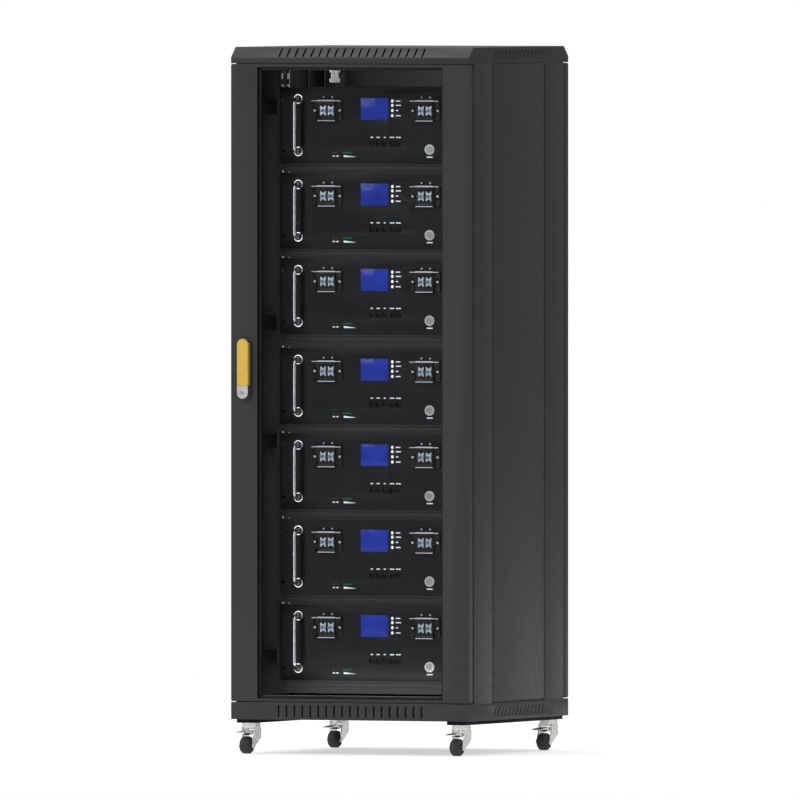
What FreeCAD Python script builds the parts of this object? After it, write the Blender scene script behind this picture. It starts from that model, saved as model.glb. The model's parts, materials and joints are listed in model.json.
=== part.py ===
"""A 19-inch rack cabinet on casters that holds seven 4U lithium iron phosphate battery modules.

Millimetres, +Z up, the front faces -Y and the right-hand side faces +X. The geometry is worked out about the
cabinet's own centre line with the floor at z = 0, then moved along Y so that the origin is the centre of the
whole floor outline, brake pedals and rear lock included.
"""
import FreeCAD, Part
import math
import os

V = FreeCAD.Vector
X_AXIS = V(1, 0, 0)
Y_AXIS = V(0, 1, 0)
Z_AXIS = V(0, 0, 1)
CENTRE = V(0, 0, 0)

# ---------------------------------------------------------------- cabinet, driving dimensions
WIDTH = 600.0
DEPTH = 600.0              # front door face to rear door face
HEIGHT = 1643.0            # floor to roof
SHEET = 2.0                # folded steel of the cabinet
CONTACT_GAP = 0.3          # least gap between pieces that move past each other
RUNNING_FIT = 0.05         # radial clearance of a pin or shaft in its bore

PLINTH_HEIGHT = 40.0
CHANNEL_HEIGHT = 8.5
CHANNEL_WIDTH = 50.0
CHANNEL_INSET = 10.0       # channel to the plinth's side, front and rear faces
CHANNEL_SHEET = 3.0
ROOF_HEIGHT = 38.0
ROOF_BAND = 14.0           # upright band below the roof's front and rear slopes
ROOF_SLOPE = 27.0          # depth of those slopes
RING_FLANGE = 40.0         # inward flange under the roof
FOOT_FLANGE = 80.0         # inward flange round the plinth's foot, over the caster channels
CABLE_ENTRY_WIDTH = 300.0
CABLE_ENTRY_DEPTH = 110.0
CABLE_ENTRY_Y = 185.0      # middle of the entry, behind the cabinet's centre
EARTH_STUD_R = 4.0
EARTH_STUD_HEIGHT = 20.0
EARTH_STUD_X = 185.0
EARTH_STUD_Y = 195.0

VENT_PITCH = 20.0
VENT_COUNT = 19
VENT_WIDTH = 4.4
VENT_MARGIN = 6.0          # plain metal above and below the upright vents
SIDE_VENT_PITCH = 22.0
SIDE_VENT_COUNT = 14
SIDE_VENT_HEIGHT = 22.0
SIDE_VENT_LEAN = 32.0      # degrees, top to the rear

DOOR_THICKNESS = 22.0
DOOR_END_GAP = 4.0         # door to plinth and door to roof
DOOR_BODY_GAP = 8.0        # door to the cabinet's front frame
DOOR_STILE = 66.0
DOOR_RAIL = 5.0
DOOR_SHEET = 1.5
GLASS_THICKNESS = 5.0
GLASS_SETBACK = 4.0
HINGE_INSET = 10.0         # hinge pin to the door's edge and face
HINGE_PIN_R = 4.0
HINGE_PIN_REACH = 20.0     # pin inside the door
HINGE_BOSS = 19.0
BOSS_FLOOR = 4.0

POST_SIDE = 115.0          # width of a corner post's side face
POST_FLANGE = 50.0
SEAT_STEP = 12.0           # the side panel's edge is folded this deep
SEAT_WIDTH = 25.0
PANEL_GAP = 1.0
CROSS_RAIL_HEIGHT = 16.0
CROSS_RAIL_DEPTH = 20.0
SIDE_RAIL_WIDTH = 22.0

# ---------------------------------------------------------------- 19-inch mounting system
PANEL_WIDTH = 482.6
MODULE_HEIGHT = 177.0
HOLE_SPACING = 465.1       # between the two columns of rack holes
RACK_OPENING = 450.0
RAIL_SPAN = 501.0          # outside to outside of a pair of rails
FRONT_RAIL_SETBACK = 156.0
RAIL_DEPTH = 60.0
REAR_RAIL_SETBACK = 100.0
RAIL_SHEET = 2.0
SQUARE_HOLE = 9.5
ROUND_HOLE_R = 3.5
UNIT_HOLE_PITCH = 31.75
FREE_HOLE_PITCH = 28.575
FREE_HOLE_RISE = 5.0       # top module's upper edge to the first free hole
BRACKET_HEIGHT = 30.0
BRACKET_HEIGHTS = (-640.0, -137.0, 137.0, 640.0)   # above and below the middle of the body
BRACKET_LENGTH = 480.0

# ---------------------------------------------------------------- battery modules
MODULE_COUNT = 7
MODULE_TOP_SPACE = 57.0    # roof underside to the top module
MODULE_GAP = 21.8          # between modules
MIDDLE_GAP = 31.8          # wider gap below the third module
MIDDLE_GAP_BELOW = 3
PANEL_THICKNESS = 3.0
CASE_WIDTH = 442.0
CASE_DEPTH = 400.0
CASE_SHEET = 1.5
CASE_HEIGHT = 174.5
SHELF_LIP = 12.5
SHELF_SHEET = 2.0
EAR_HOLE_LOW = 29.0
EAR_HOLE_HIGH = 148.0
EAR_HOLE_R = 3.4

HANDLE_X = 194.0
HANDLE_LOW = 28.0
HANDLE_SPACING = 122.0
HANDLE_REACH = 30.0
HANDLE_R = 5.0
HANDLE_BEND = 12.0
FERRULE_R = 11.0
FERRULE_HEIGHT = 3.0

TERMINAL_X = (-120.0, 127.0)
TERMINAL_Z = 123.5
TERMINAL_WIDTH = 73.0
TERMINAL_HEIGHT = 47.0
TERMINAL_FLANGE = 3.0
TERMINAL_BLOCK = 43.0
TERMINAL_DEPTH = 9.0
TERMINAL_RIDGE = 2.6
RIDGE_RISE = 2.0
BAY_WIDTH = 16.4
BAY_HEIGHT = 30.0
BAY_DEPTH = 3.8
POLE_SPACING = 19.4
PLATE_WIDTH = 14.0
PLATE_HEIGHT = 22.0
PLATE_THICKNESS = 1.5
WASHER_R = 6.8
WASHER_THICKNESS = 1.2
BOLT_FLATS = 10.0
BOLT_HEAD = 4.2

SCREEN_X = -3.0
SCREEN_Z = 127.5
SCREEN_WIDTH = 70.0
SCREEN_HEIGHT = 51.0
SCREEN_THICKNESS = 3.0
SCREEN_SETBACK = 0.8
FIT_GAP = 0.2              # fixed pieces in their cut-outs

KEY_X = 43.0
KEY_HEIGHTS = (112.0, 124.0, 136.0, 146.0)
KEY_WIDTH = 6.5
KEY_HEIGHT = 8.5
KEY_RISE = 2.6
KEY_DEPTH = 6.5

PORT_PLACES = (-9.0, 7.0, 23.5, 42.0, 58.0)
PORT_Z = 46.5
PORT_WIDTH = 13.0
PORT_HEIGHT = 14.0
PORT_DEPTH = 16.0
PORT_RISE = 0.6
PORT_SOCKET = 3.6          # depth to the contact block
PORT_WALL = 1.4

BUTTON_X = 137.0
BUTTON_Z = 33.5
BUTTON_R = 8.0
BUTTON_RISE = 2.4
BUTTON_DEPTH = 12.0
BEZEL_R = 12.0
BEZEL_RISE = 2.0
BEZEL_BARREL_R = 10.0
BEZEL_DEPTH = 14.0

CELL_WIDTH = 48.0
CELL_DEPTH = 174.0
CELL_HEIGHT = 119.0
CELL_PITCH = 49.0
CELLS_ACROSS = 8
CELL_ROW_GAP = 4.0
CELL_BACK_GAP = 3.0
CELL_LIFT = 4.0
CELL_POLE_R = 7.0
CELL_POLE_HEIGHT = 4.0
CELL_POLE_INSET = 28.0
BUSBAR_WIDTH = 20.0
BUSBAR_THICKNESS = 2.0
BOARD_WIDTH = 380.0
BOARD_HEIGHT = 130.0
BOARD_THICKNESS = 1.6
BOARD_SETBACK = 24.0       # front panel's back to the board
BOARD_LIFT = 22.0

SCREW_HEAD_R = 5.6
SCREW_HEAD_HEIGHT = 3.2
SCREW_SHANK_R = 2.9
SCREW_LENGTH = 14.0
SOCKET_R = 1.8
NUT_SIDE = 13.0
NUT_THICKNESS = 6.0

# ---------------------------------------------------------------- front door lock
LOCK_INSET = 35.0          # lock's axis to the door's edge
LOCK_HEIGHT = 895.0
LOCK_LENGTH = 139.0
LOCK_WIDTH = 27.0
LOCK_BORDER = 4.0
LOCK_BASE = 3.0
LEVER_LENGTH = 109.0
LEVER_THICKNESS = 11.4
SPINDLE_R = 5.0
SPINDLE_HEAD_WIDTH = 14.0
SPINDLE_HEAD_R = 4.0
SPINDLE_NECK_R = 3.2
LEVER_PIN_R = 1.5
LEVER_POCKET_HEIGHT = 11.0 # lets the lever swing out about the spindle's neck
LEVER_SKIN = 1.4           # metal in front of the lever's pocket
CAM_REACH = 18.0
CAM_WIDTH = 14.0
CAM_THICKNESS = 3.0
STRIKE_GAP = 2.0           # the post's window stays clear of the cam on every side
LOCK_CASE_WIDTH = 26.0
LOCK_CASE_HEIGHT = 90.0
KEY_SLOT_LENGTH = 7.0
KEY_SLOT_WIDTH = 2.0
KEY_SLOT_DEPTH = 3.0

REAR_BARREL_R = 9.5
REAR_HEAD_R = 12.0
REAR_HEAD = 2.5
REAR_DOOR_SHEET = 2.0
SEAM_WIDTH = 2.0
SEAM_DEPTH = 0.8

# ---------------------------------------------------------------- casters
CASTER_HEIGHT = 71.5
CASTER_INSET_X = 35.0      # swivel axis to the cabinet's side
CASTER_INSET_Y = 38.0
WHEEL_R = 20.0
WHEEL_WIDTH = 26.0
WHEEL_CHAMFER = 5.0
WHEEL_TRAIL = 26.0
AXLE_R = 3.0
AXLE_HEAD_R = 5.0
AXLE_HEAD = 2.0
RACE_R = 21.5
RACE_THICKNESS = 4.5
KINGPIN_R = 5.0
KINGPIN_HEAD_R = 7.5
KINGPIN_HEAD = 2.5
STEM_NUT_R = 8.0
STEM_NUT = 5.0
CROWN_THICKNESS = 8.0
LEG_THICKNESS = 2.5
LEG_GAP = 29.0
PEDAL_WIDTH = 24.0
PEDAL_REACH = 70.0         # pedal's tip to the swivel axis
PEDAL_PIVOT_TRAIL = 16.0
PEDAL_PIVOT_HEIGHT = 50.0
PEDAL_PIN_R = 2.0
PEDAL_TUBE_R = 4.5
PEDAL_THICKNESS = 3.0
SHOE_BOTTOM = 43.5

# ---------------------------------------------------------------- levels and places worked out from the above
HALF_W = WIDTH / 2
HALF_D = DEPTH / 2
PLINTH_BOTTOM = CASTER_HEIGHT + CHANNEL_HEIGHT
BODY_BOTTOM = PLINTH_BOTTOM + PLINTH_HEIGHT
BODY_TOP = HEIGHT - ROOF_HEIGHT
BODY_MIDDLE = (BODY_BOTTOM + BODY_TOP) / 2
DOOR_BOTTOM = BODY_BOTTOM + DOOR_END_GAP
DOOR_TOP = BODY_TOP - DOOR_END_GAP
FRAME_Y = HALF_D - DOOR_THICKNESS - DOOR_BODY_GAP     # front and rear planes of the corner posts
POST_END_Y = FRAME_Y - POST_SIDE
RAIL_FACE_Y = -HALF_D + FRONT_RAIL_SETBACK            # the panels' ears bear on this plane
REAR_RAIL_Y = HALF_D - REAR_RAIL_SETBACK
PANEL_FACE_Y = RAIL_FACE_Y - PANEL_THICKNESS
CASE_END_Y = RAIL_FACE_Y + CASE_DEPTH
CHANNEL_X = HALF_W - CHANNEL_INSET - CHANNEL_WIDTH / 2
CASTER_X = HALF_W - CASTER_INSET_X
CASTER_Y = HALF_D - CASTER_INSET_Y
HINGE_X = HALF_W - HINGE_INSET
HINGE_Y = -HALF_D + HINGE_INSET
LOCK_X = -HALF_W + LOCK_INSET
SPINDLE_Z = LOCK_HEIGHT + LOCK_LENGTH / 2 - LOCK_WIDTH / 2
LEVER_RADIUS = LEVER_LENGTH - LOCK_WIDTH / 2
CAM_Y = FRAME_Y - SHEET - 2 * STRIKE_GAP              # depth plane of both cams, from the centre

PEDAL_TIP_Y = -CASTER_Y - PEDAL_REACH
REAR_LIMIT_Y = HALF_D + CONTACT_GAP + REAR_HEAD
ORIGIN_SHIFT = -(PEDAL_TIP_Y + REAR_LIMIT_Y) / 2


def module_bottoms():
    """Heights of the modules' lower edges, top module first."""
    bottoms = []
    level = BODY_TOP - MODULE_TOP_SPACE
    for index in range(MODULE_COUNT):
        level -= MODULE_HEIGHT
        bottoms.append(level)
        level -= MIDDLE_GAP if index + 1 == MIDDLE_GAP_BELOW else MODULE_GAP
    return bottoms


MODULES = module_bottoms()


# ---------------------------------------------------------------- building blocks
def block(x0, x1, y0, y1, z0, z1):
    return Part.makeBox(x1 - x0, y1 - y0, z1 - z0, V(x0, y0, z0))


def rod(radius, length, start, axis):
    return Part.makeCylinder(radius, length, start, axis)


def prism(points, direction):
    """A solid from a closed outline of points, pushed along a direction."""
    outline = Part.makePolygon(points + [points[0]])
    return Part.Face(outline).extrude(direction)


def stadium(x, z, width, z_low, z_high, y0, y1):
    """An upright plate with round ends, in the XZ plane."""
    radius = width / 2
    body = block(x - radius, x + radius, y0, y1, z_low + radius, z_high - radius)
    ends = [rod(radius, y1 - y0, V(x, y0, level), Y_AXIS) for level in (z_low + radius, z_high - radius)]
    return body.multiFuse(ends).removeSplitter()


def joined(shapes):
    return shapes[0].multiFuse(shapes[1:]).removeSplitter()


def without(shape, tools):
    return shape.cut(Part.makeCompound(tools))


def mirrored_x(shape):
    return shape.mirror(CENTRE, X_AXIS)


def mirrored_y(shape):
    return shape.mirror(CENTRE, Y_AXIS)


def turned(shape):
    """The same piece turned half round the cabinet's upright centre line."""
    copy = shape.copy()
    copy.rotate(CENTRE, Z_AXIS, 180)
    return copy


def for_each_module(shapes):
    """Copies of one module's pieces, drawn with the module's lower edge at z = 0, in every module."""
    return [shape.translated(V(0, 0, bottom)) for bottom in MODULES for shape in shapes]


def save(node, shapes):
    whole = Part.makeCompound(shapes).translated(V(0, ORIGIN_SHIFT, 0))
    solids = whole.Solids
    if not all(solid.isValid() for solid in solids):
        raise ValueError(node + " holds a solid that is not valid")
    shape = solids[0] if len(solids) == 1 else Part.makeCompound(solids)
    shape.exportStep("parts/" + node + ".step")


# ---------------------------------------------------------------- cabinet body
def row(count, pitch):
    """Places of a centred row."""
    return [(index - (count - 1) / 2) * pitch for index in range(count)]


def upright_vents(y0, y1, z0, z1):
    half = VENT_WIDTH / 2
    return [block(x - half, x + half, y0, y1, z0, z1) for x in row(VENT_COUNT, VENT_PITCH)]


def slanted_vents(z_middle):
    """Leaning slots through both side walls at one height."""
    half = SIDE_VENT_HEIGHT / 2
    lean = half * math.tan(math.radians(SIDE_VENT_LEAN))
    tools = []
    for y in row(SIDE_VENT_COUNT, SIDE_VENT_PITCH):
        corners = [
            V(-HALF_W - SHEET, y - lean, z_middle - half),
            V(-HALF_W - SHEET, y - lean + VENT_WIDTH, z_middle - half),
            V(-HALF_W - SHEET, y + lean + VENT_WIDTH, z_middle + half),
            V(-HALF_W - SHEET, y + lean, z_middle + half),
        ]
        slot = prism(corners, V(3 * SHEET, 0, 0)).translated(V(0, -VENT_WIDTH / 2, 0))
        tools += [slot, mirrored_x(slot)]
    return tools


def base_frame():
    """Plinth with a closed top, a cable entry, an inward foot flange, vents and a hanging earth stud."""
    shell = block(-HALF_W, HALF_W, -HALF_D, HALF_D, PLINTH_BOTTOM, BODY_BOTTOM)
    inner_w = HALF_W - SHEET
    inner_d = HALF_D - SHEET
    foot_w = HALF_W - FOOT_FLANGE
    foot_d = HALF_D - FOOT_FLANGE
    entry_low = CABLE_ENTRY_Y - CABLE_ENTRY_DEPTH / 2
    tools = [
        block(-inner_w, inner_w, -inner_d, inner_d, PLINTH_BOTTOM + SHEET, BODY_BOTTOM - SHEET),
        block(-foot_w, foot_w, -foot_d, foot_d, PLINTH_BOTTOM, PLINTH_BOTTOM + SHEET),
        block(-CABLE_ENTRY_WIDTH / 2, CABLE_ENTRY_WIDTH / 2, entry_low, entry_low + CABLE_ENTRY_DEPTH,
              BODY_BOTTOM - SHEET, BODY_BOTTOM),
    ]
    low = PLINTH_BOTTOM + VENT_MARGIN
    high = BODY_BOTTOM - VENT_MARGIN
    tools += upright_vents(-HALF_D - SHEET, -inner_d + SHEET, low, high)
    tools += upright_vents(inner_d - SHEET, HALF_D + SHEET, low, high)
    tools += slanted_vents((PLINTH_BOTTOM + BODY_BOTTOM) / 2)
    stud_foot = V(EARTH_STUD_X, EARTH_STUD_Y, BODY_BOTTOM - SHEET - EARTH_STUD_HEIGHT)
    stud = rod(EARTH_STUD_R, EARTH_STUD_HEIGHT, stud_foot, Z_AXIS)
    return joined([without(shell, tools), stud])


def caster_channels():
    """Two shallow channels along the cabinet's sides, open upwards against the plinth."""
    half = CHANNEL_WIDTH / 2
    end = HALF_D - CHANNEL_INSET
    top = PLINTH_BOTTOM
    outer = block(CHANNEL_X - half, CHANNEL_X + half, -end, end, CASTER_HEIGHT, top)
    inner = block(CHANNEL_X - half + CHANNEL_SHEET, CHANNEL_X + half - CHANNEL_SHEET,
                  -end + CHANNEL_SHEET, end - CHANNEL_SHEET, CASTER_HEIGHT + CHANNEL_SHEET, top)
    places = [V(CASTER_X, y, CASTER_HEIGHT) for y in (-CASTER_Y, CASTER_Y)]
    holes = [rod(KINGPIN_R, CHANNEL_SHEET, place, Z_AXIS) for place in places]
    channel = without(outer, [inner] + holes)
    return [channel, mirrored_x(channel)]


def post(lock_level=None):
    """Front left corner post: front flange, side face, a stepped side panel seat, and the lock's window."""
    x = -HALF_W
    y = -FRAME_Y
    end = -POST_END_Y
    seat_x = x + SEAT_STEP
    outline = [
        V(x, y, BODY_BOTTOM),
        V(x + POST_FLANGE, y, BODY_BOTTOM),
        V(x + POST_FLANGE, y + SHEET, BODY_BOTTOM),
        V(x + SHEET, y + SHEET, BODY_BOTTOM),
        V(x + SHEET, end - SHEET, BODY_BOTTOM),
        V(seat_x + SHEET, end - SHEET, BODY_BOTTOM),
        V(seat_x + SHEET, end + SEAT_WIDTH, BODY_BOTTOM),
        V(seat_x, end + SEAT_WIDTH, BODY_BOTTOM),
        V(seat_x, end, BODY_BOTTOM),
        V(x, end, BODY_BOTTOM),
    ]
    upright = prism(outline, V(0, 0, BODY_TOP - BODY_BOTTOM))
    if lock_level:
        edge = LOCK_X - CAM_REACH - STRIKE_GAP
        half = CAM_REACH + STRIKE_GAP
        low = lock_level - half
        upright = upright.cut(block(edge, x + POST_FLANGE, y, y + SHEET, low, low + 2 * half))
    return upright


def corner_posts():
    """The front left and the rear right posts carry the lock windows."""
    plain = post()
    return [post(SPINDLE_Z), turned(post(LOCK_HEIGHT)), mirrored_x(plain), mirrored_y(plain)]


def cross_rail(x0, x1, y0, y1, z0, z1, hollow):
    """A channel: a block less the hollow that opens it on one side."""
    return block(x0, x1, y0, y1, z0, z1).cut(hollow)


def cross_rails():
    """Channels that join the posts at top and bottom, along all four sides."""
    half = HALF_W - 2 * SHEET
    rails = []
    inner = FRAME_Y - SHEET - CROSS_RAIL_DEPTH
    side_out = HALF_W - SEAT_STEP - SHEET - FIT_GAP
    side_in = side_out - SIDE_RAIL_WIDTH
    for z0 in (BODY_BOTTOM, BODY_TOP - CROSS_RAIL_HEIGHT):
        z1 = z0 + CROSS_RAIL_HEIGHT
        hollow = block(-half, half, -FRAME_Y + 2 * SHEET, -inner, z0 + SHEET, z1 - SHEET)
        front = cross_rail(-half, half, -FRAME_Y + SHEET, -inner, z0, z1, hollow)
        hollow = block(side_in, side_out - SHEET, -inner, inner, z0 + SHEET, z1 - SHEET)
        right = cross_rail(side_in, side_out, -inner, inner, z0, z1, hollow)
        rails += [front, mirrored_y(front), right, mirrored_x(right)]
    return rails


def roof_cover():
    """Folded cap with sloping vented edges front and rear and upright vented sides."""
    def section(inset):
        low = BODY_TOP + inset
        high = HEIGHT - inset
        band = BODY_TOP + ROOF_BAND - inset / 2
        edge = HALF_D - inset
        slope = HALF_D - ROOF_SLOPE - inset / 2
        x = -HALF_W + inset
        return [V(x, -edge, low), V(x, -edge, band), V(x, -slope, high), V(x, slope, high),
                V(x, edge, band), V(x, edge, low)]
    outer = prism(section(0), V(WIDTH, 0, 0))
    inner = prism(section(SHEET), V(WIDTH - 2 * SHEET, 0, 0))
    ring_w = HALF_W - RING_FLANGE
    ring_d = HALF_D - RING_FLANGE
    mouth = block(-ring_w, ring_w, -ring_d, ring_d, BODY_TOP, BODY_TOP + SHEET)
    slope_low = HALF_D - SHEET
    slope_high = HALF_D - ROOF_SLOPE + SHEET
    vent_low = BODY_TOP + ROOF_BAND - SHEET
    tools = upright_vents(slope_high, slope_low, vent_low, HEIGHT)
    tools += upright_vents(-slope_low, -slope_high, vent_low, HEIGHT)
    tools += slanted_vents(BODY_TOP + ROOF_HEIGHT / 2)
    return without(outer, [inner, mouth] + tools)


def side_panel():
    """Right-hand cover: a shallow folded tray that lies in the posts' seats."""
    z0 = BODY_BOTTOM + PANEL_GAP
    z1 = BODY_TOP - PANEL_GAP
    half = POST_END_Y - PANEL_GAP
    tray = block(HALF_W - SEAT_STEP, HALF_W, -half, half, z0, z1)
    inner = block(HALF_W - SEAT_STEP, HALF_W - SHEET, -half + SHEET, half - SHEET, z0 + SHEET, z1 - SHEET)
    return tray.cut(inner)


def rail_hole_heights():
    """Square holes in step with the modules' ears, with a shelf hole in each gap."""
    steps = (-SHELF_LIP / 2, EAR_HOLE_LOW, EAR_HOLE_HIGH)
    between = [EAR_HOLE_LOW + UNIT_HOLE_PITCH * share for share in (1, 2)]
    return [bottom + step for bottom in MODULES for step in list(steps) + between]


def mounting_rail():
    """Front left rail: a flange with the rack holes and a side web."""
    x0 = -RAIL_SPAN / 2
    x1 = -RACK_OPENING / 2
    z0 = BODY_BOTTOM + CROSS_RAIL_HEIGHT
    z1 = BODY_TOP - CROSS_RAIL_HEIGHT
    flange = block(x0, x1, RAIL_FACE_Y, RAIL_FACE_Y + RAIL_SHEET, z0, z1)
    web = block(x0, x0 + RAIL_SHEET, RAIL_FACE_Y, RAIL_FACE_Y + RAIL_DEPTH, z0, z1)
    centre = -HOLE_SPACING / 2
    half = SQUARE_HOLE / 2
    y0 = RAIL_FACE_Y - RAIL_SHEET
    y1 = RAIL_FACE_Y + 2 * RAIL_SHEET
    tools = [block(centre - half, centre + half, y0, y1, z - half, z + half) for z in rail_hole_heights()]
    tools += [rod(ROUND_HOLE_R, y1 - y0, V(centre, y0, z), Y_AXIS) for z in free_unit_holes()]
    return without(flange.fuse(web).removeSplitter(), tools)


def free_unit_holes():
    """Two round holes in each front rail above the top module."""
    low = MODULES[0] + MODULE_HEIGHT + FREE_HOLE_RISE
    return (low, low + FREE_HOLE_PITCH)


def mounting_rails():
    front = mounting_rail()
    rear = mirrored_y(front).translated(V(0, REAR_RAIL_Y + RAIL_FACE_Y, 0))
    return [front, mirrored_x(front), rear, mirrored_x(rear)]


def rail_brackets():
    """Depth bars on both sides, from the posts' seats to the mounting rails."""
    outer = HALF_W - SEAT_STEP - SHEET
    inner = RAIL_SPAN / 2
    half = BRACKET_LENGTH / 2
    bars = []
    for offset in BRACKET_HEIGHTS:
        z0 = BODY_MIDDLE + offset - BRACKET_HEIGHT / 2
        z1 = z0 + BRACKET_HEIGHT
        bar = block(inner, outer, -half, half, z0, z1)
        bar = bar.cut(block(inner + SHEET, outer, -half, half, z0 + SHEET, z1 - SHEET))
        bars += [bar, mirrored_x(bar)]
    return bars


def hinge_pins():
    """Upright pins on the plinth and under the roof, one pair for each door."""
    length = DOOR_END_GAP + HINGE_PIN_REACH
    pins = []
    for z in (BODY_BOTTOM, BODY_TOP - length):
        pin = rod(HINGE_PIN_R, length, V(HINGE_X, HINGE_Y, z), Z_AXIS)
        pins += [pin, turned(pin)]
    return pins


# ---------------------------------------------------------------- battery module pieces, lower edge at z = 0
def front_panel():
    half = PANEL_WIDTH / 2
    plate = block(-half, half, PANEL_FACE_Y, RAIL_FACE_Y, 0, MODULE_HEIGHT)
    y0 = PANEL_FACE_Y - PANEL_THICKNESS
    y1 = RAIL_FACE_Y + PANEL_THICKNESS
    tools = [window(SCREEN_X, SCREEN_Z, SCREEN_WIDTH, SCREEN_HEIGHT, FIT_GAP, y0, y1)]
    tools += [window(KEY_X, z, KEY_WIDTH, KEY_HEIGHT, CONTACT_GAP, y0, y1) for z in KEY_HEIGHTS]
    tools += [window(x, PORT_Z, PORT_WIDTH, PORT_HEIGHT, FIT_GAP, y0, y1) for x in PORT_PLACES]
    tools.append(rod(BEZEL_BARREL_R, y1 - y0, V(BUTTON_X, y0, BUTTON_Z), Y_AXIS))
    for x in (-HOLE_SPACING / 2, HOLE_SPACING / 2):
        tools += [rod(EAR_HOLE_R, y1 - y0, V(x, y0, z), Y_AXIS) for z in (EAR_HOLE_LOW, EAR_HOLE_HIGH)]
    return without(plate, tools)


def window(x, z, width, height, gap, y0, y1):
    """A rectangular cut-out round a piece, with a gap on every side."""
    half_w = width / 2 + gap
    half_h = height / 2 + gap
    return block(x - half_w, x + half_w, y0, y1, z - half_h, z + half_h)


def module_case():
    """Tray of bottom, sides and back, open at the front and at the top."""
    half = CASE_WIDTH / 2
    outer = block(-half, half, RAIL_FACE_Y, CASE_END_Y, 0, CASE_HEIGHT)
    inner_half = half - CASE_SHEET
    inner = block(-inner_half, inner_half, RAIL_FACE_Y, CASE_END_Y - CASE_SHEET, CASE_SHEET, CASE_HEIGHT)
    return outer.cut(inner)


def module_lid():
    half = CASE_WIDTH / 2
    return block(-half, half, RAIL_FACE_Y, CASE_END_Y, CASE_HEIGHT, CASE_HEIGHT + CASE_SHEET)


def module_handles():
    """Two bent bar handles with round ferrules at their feet."""
    bar_y = PANEL_FACE_Y - HANDLE_REACH + HANDLE_R
    high = HANDLE_LOW + HANDLE_SPACING
    bend = HANDLE_BEND
    corner = bend * (1 - math.cos(math.pi / 4))
    points = [
        V(HANDLE_X, PANEL_FACE_Y, HANDLE_LOW),
        V(HANDLE_X, bar_y + bend, HANDLE_LOW),
        V(HANDLE_X, bar_y + corner, HANDLE_LOW + corner),
        V(HANDLE_X, bar_y, HANDLE_LOW + bend),
        V(HANDLE_X, bar_y, high - bend),
        V(HANDLE_X, bar_y + corner, high - corner),
        V(HANDLE_X, bar_y + bend, high),
        V(HANDLE_X, PANEL_FACE_Y, high),
    ]
    path = Part.Wire([
        Part.LineSegment(points[0], points[1]).toShape(),
        Part.Arc(points[1], points[2], points[3]).toShape(),
        Part.LineSegment(points[3], points[4]).toShape(),
        Part.Arc(points[4], points[5], points[6]).toShape(),
        Part.LineSegment(points[6], points[7]).toShape(),
    ])
    circle = Part.Wire(Part.makeCircle(HANDLE_R, points[0], Y_AXIS))
    bar = path.makePipeShell([circle], True, False)
    feet = [rod(FERRULE_R, FERRULE_HEIGHT, V(HANDLE_X, PANEL_FACE_Y - FERRULE_HEIGHT, z), Y_AXIS)
            for z in (HANDLE_LOW, high)]
    right = joined([bar] + feet)
    return [right, mirrored_x(right)]


def terminal_housings():
    """Flanged insulating blocks, each with two open bays and a ridge above and below them."""
    housings = []
    face = PANEL_FACE_Y
    half_h = TERMINAL_HEIGHT / 2
    for x in TERMINAL_X:
        z0 = TERMINAL_Z - half_h
        z1 = TERMINAL_Z + half_h
        wide = TERMINAL_WIDTH / 2
        narrow = TERMINAL_BLOCK / 2
        ridge_y = face - TERMINAL_DEPTH - RIDGE_RISE
        body = joined([
            block(x - wide, x + wide, face - TERMINAL_FLANGE, face, z0, z1),
            block(x - narrow, x + narrow, face - TERMINAL_DEPTH, face, z0, z1),
            block(x - wide, x + wide, ridge_y, face, z1 - TERMINAL_RIDGE, z1),
            block(x - narrow, x + narrow, ridge_y, face, z0, z0 + TERMINAL_RIDGE),
        ])
        bay_back = face - TERMINAL_DEPTH + BAY_DEPTH
        bay_front = face - TERMINAL_DEPTH - RIDGE_RISE
        bays = [window(pole, TERMINAL_Z, BAY_WIDTH, BAY_HEIGHT, 0, bay_front, bay_back)
                for pole in (x - POLE_SPACING / 2, x + POLE_SPACING / 2)]
        housings.append(without(body, bays))
    return housings


def terminal_bolts():
    """Hexagon bolts with a washer and a clamping plate, one in each bay."""
    floor_y = PANEL_FACE_Y - TERMINAL_DEPTH + BAY_DEPTH
    corner_r = BOLT_FLATS / math.sqrt(3)
    bolts = []
    for x in TERMINAL_X:
        for side in (-1, 1):
            pole = x + side * POLE_SPACING / 2
            plate = window(pole, TERMINAL_Z, PLATE_WIDTH, PLATE_HEIGHT, 0, floor_y - PLATE_THICKNESS, floor_y)
            washer_y = floor_y - PLATE_THICKNESS - WASHER_THICKNESS
            washer = rod(WASHER_R, WASHER_THICKNESS, V(pole, washer_y, TERMINAL_Z), Y_AXIS)
            corners = [V(pole + corner_r * math.cos(math.radians(60 * turn)), washer_y,
                         TERMINAL_Z + corner_r * math.sin(math.radians(60 * turn))) for turn in range(6)]
            bolts.append(joined([plate, washer, prism(corners, V(0, -BOLT_HEAD, 0))]))
    return bolts


def display_window():
    y0 = PANEL_FACE_Y + SCREEN_SETBACK
    return window(SCREEN_X, SCREEN_Z, SCREEN_WIDTH, SCREEN_HEIGHT, 0, y0, y0 + SCREEN_THICKNESS)


def keypad():
    """Four push keys that show through the panel."""
    y0 = PANEL_FACE_Y - KEY_RISE
    return [window(KEY_X, z, KEY_WIDTH, KEY_HEIGHT, 0, y0, y0 + KEY_DEPTH) for z in KEY_HEIGHTS]


def port_housings():
    """Five sockets with shallow mouths."""
    y0 = PANEL_FACE_Y - PORT_RISE
    ports = []
    for x in PORT_PLACES:
        body = window(x, PORT_Z, PORT_WIDTH, PORT_HEIGHT, 0, y0, y0 + PORT_DEPTH)
        mouth = window(x, PORT_Z, PORT_WIDTH, PORT_HEIGHT, -PORT_WALL, y0, y0 + PORT_SOCKET)
        ports.append(body.cut(mouth))
    return ports


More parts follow.
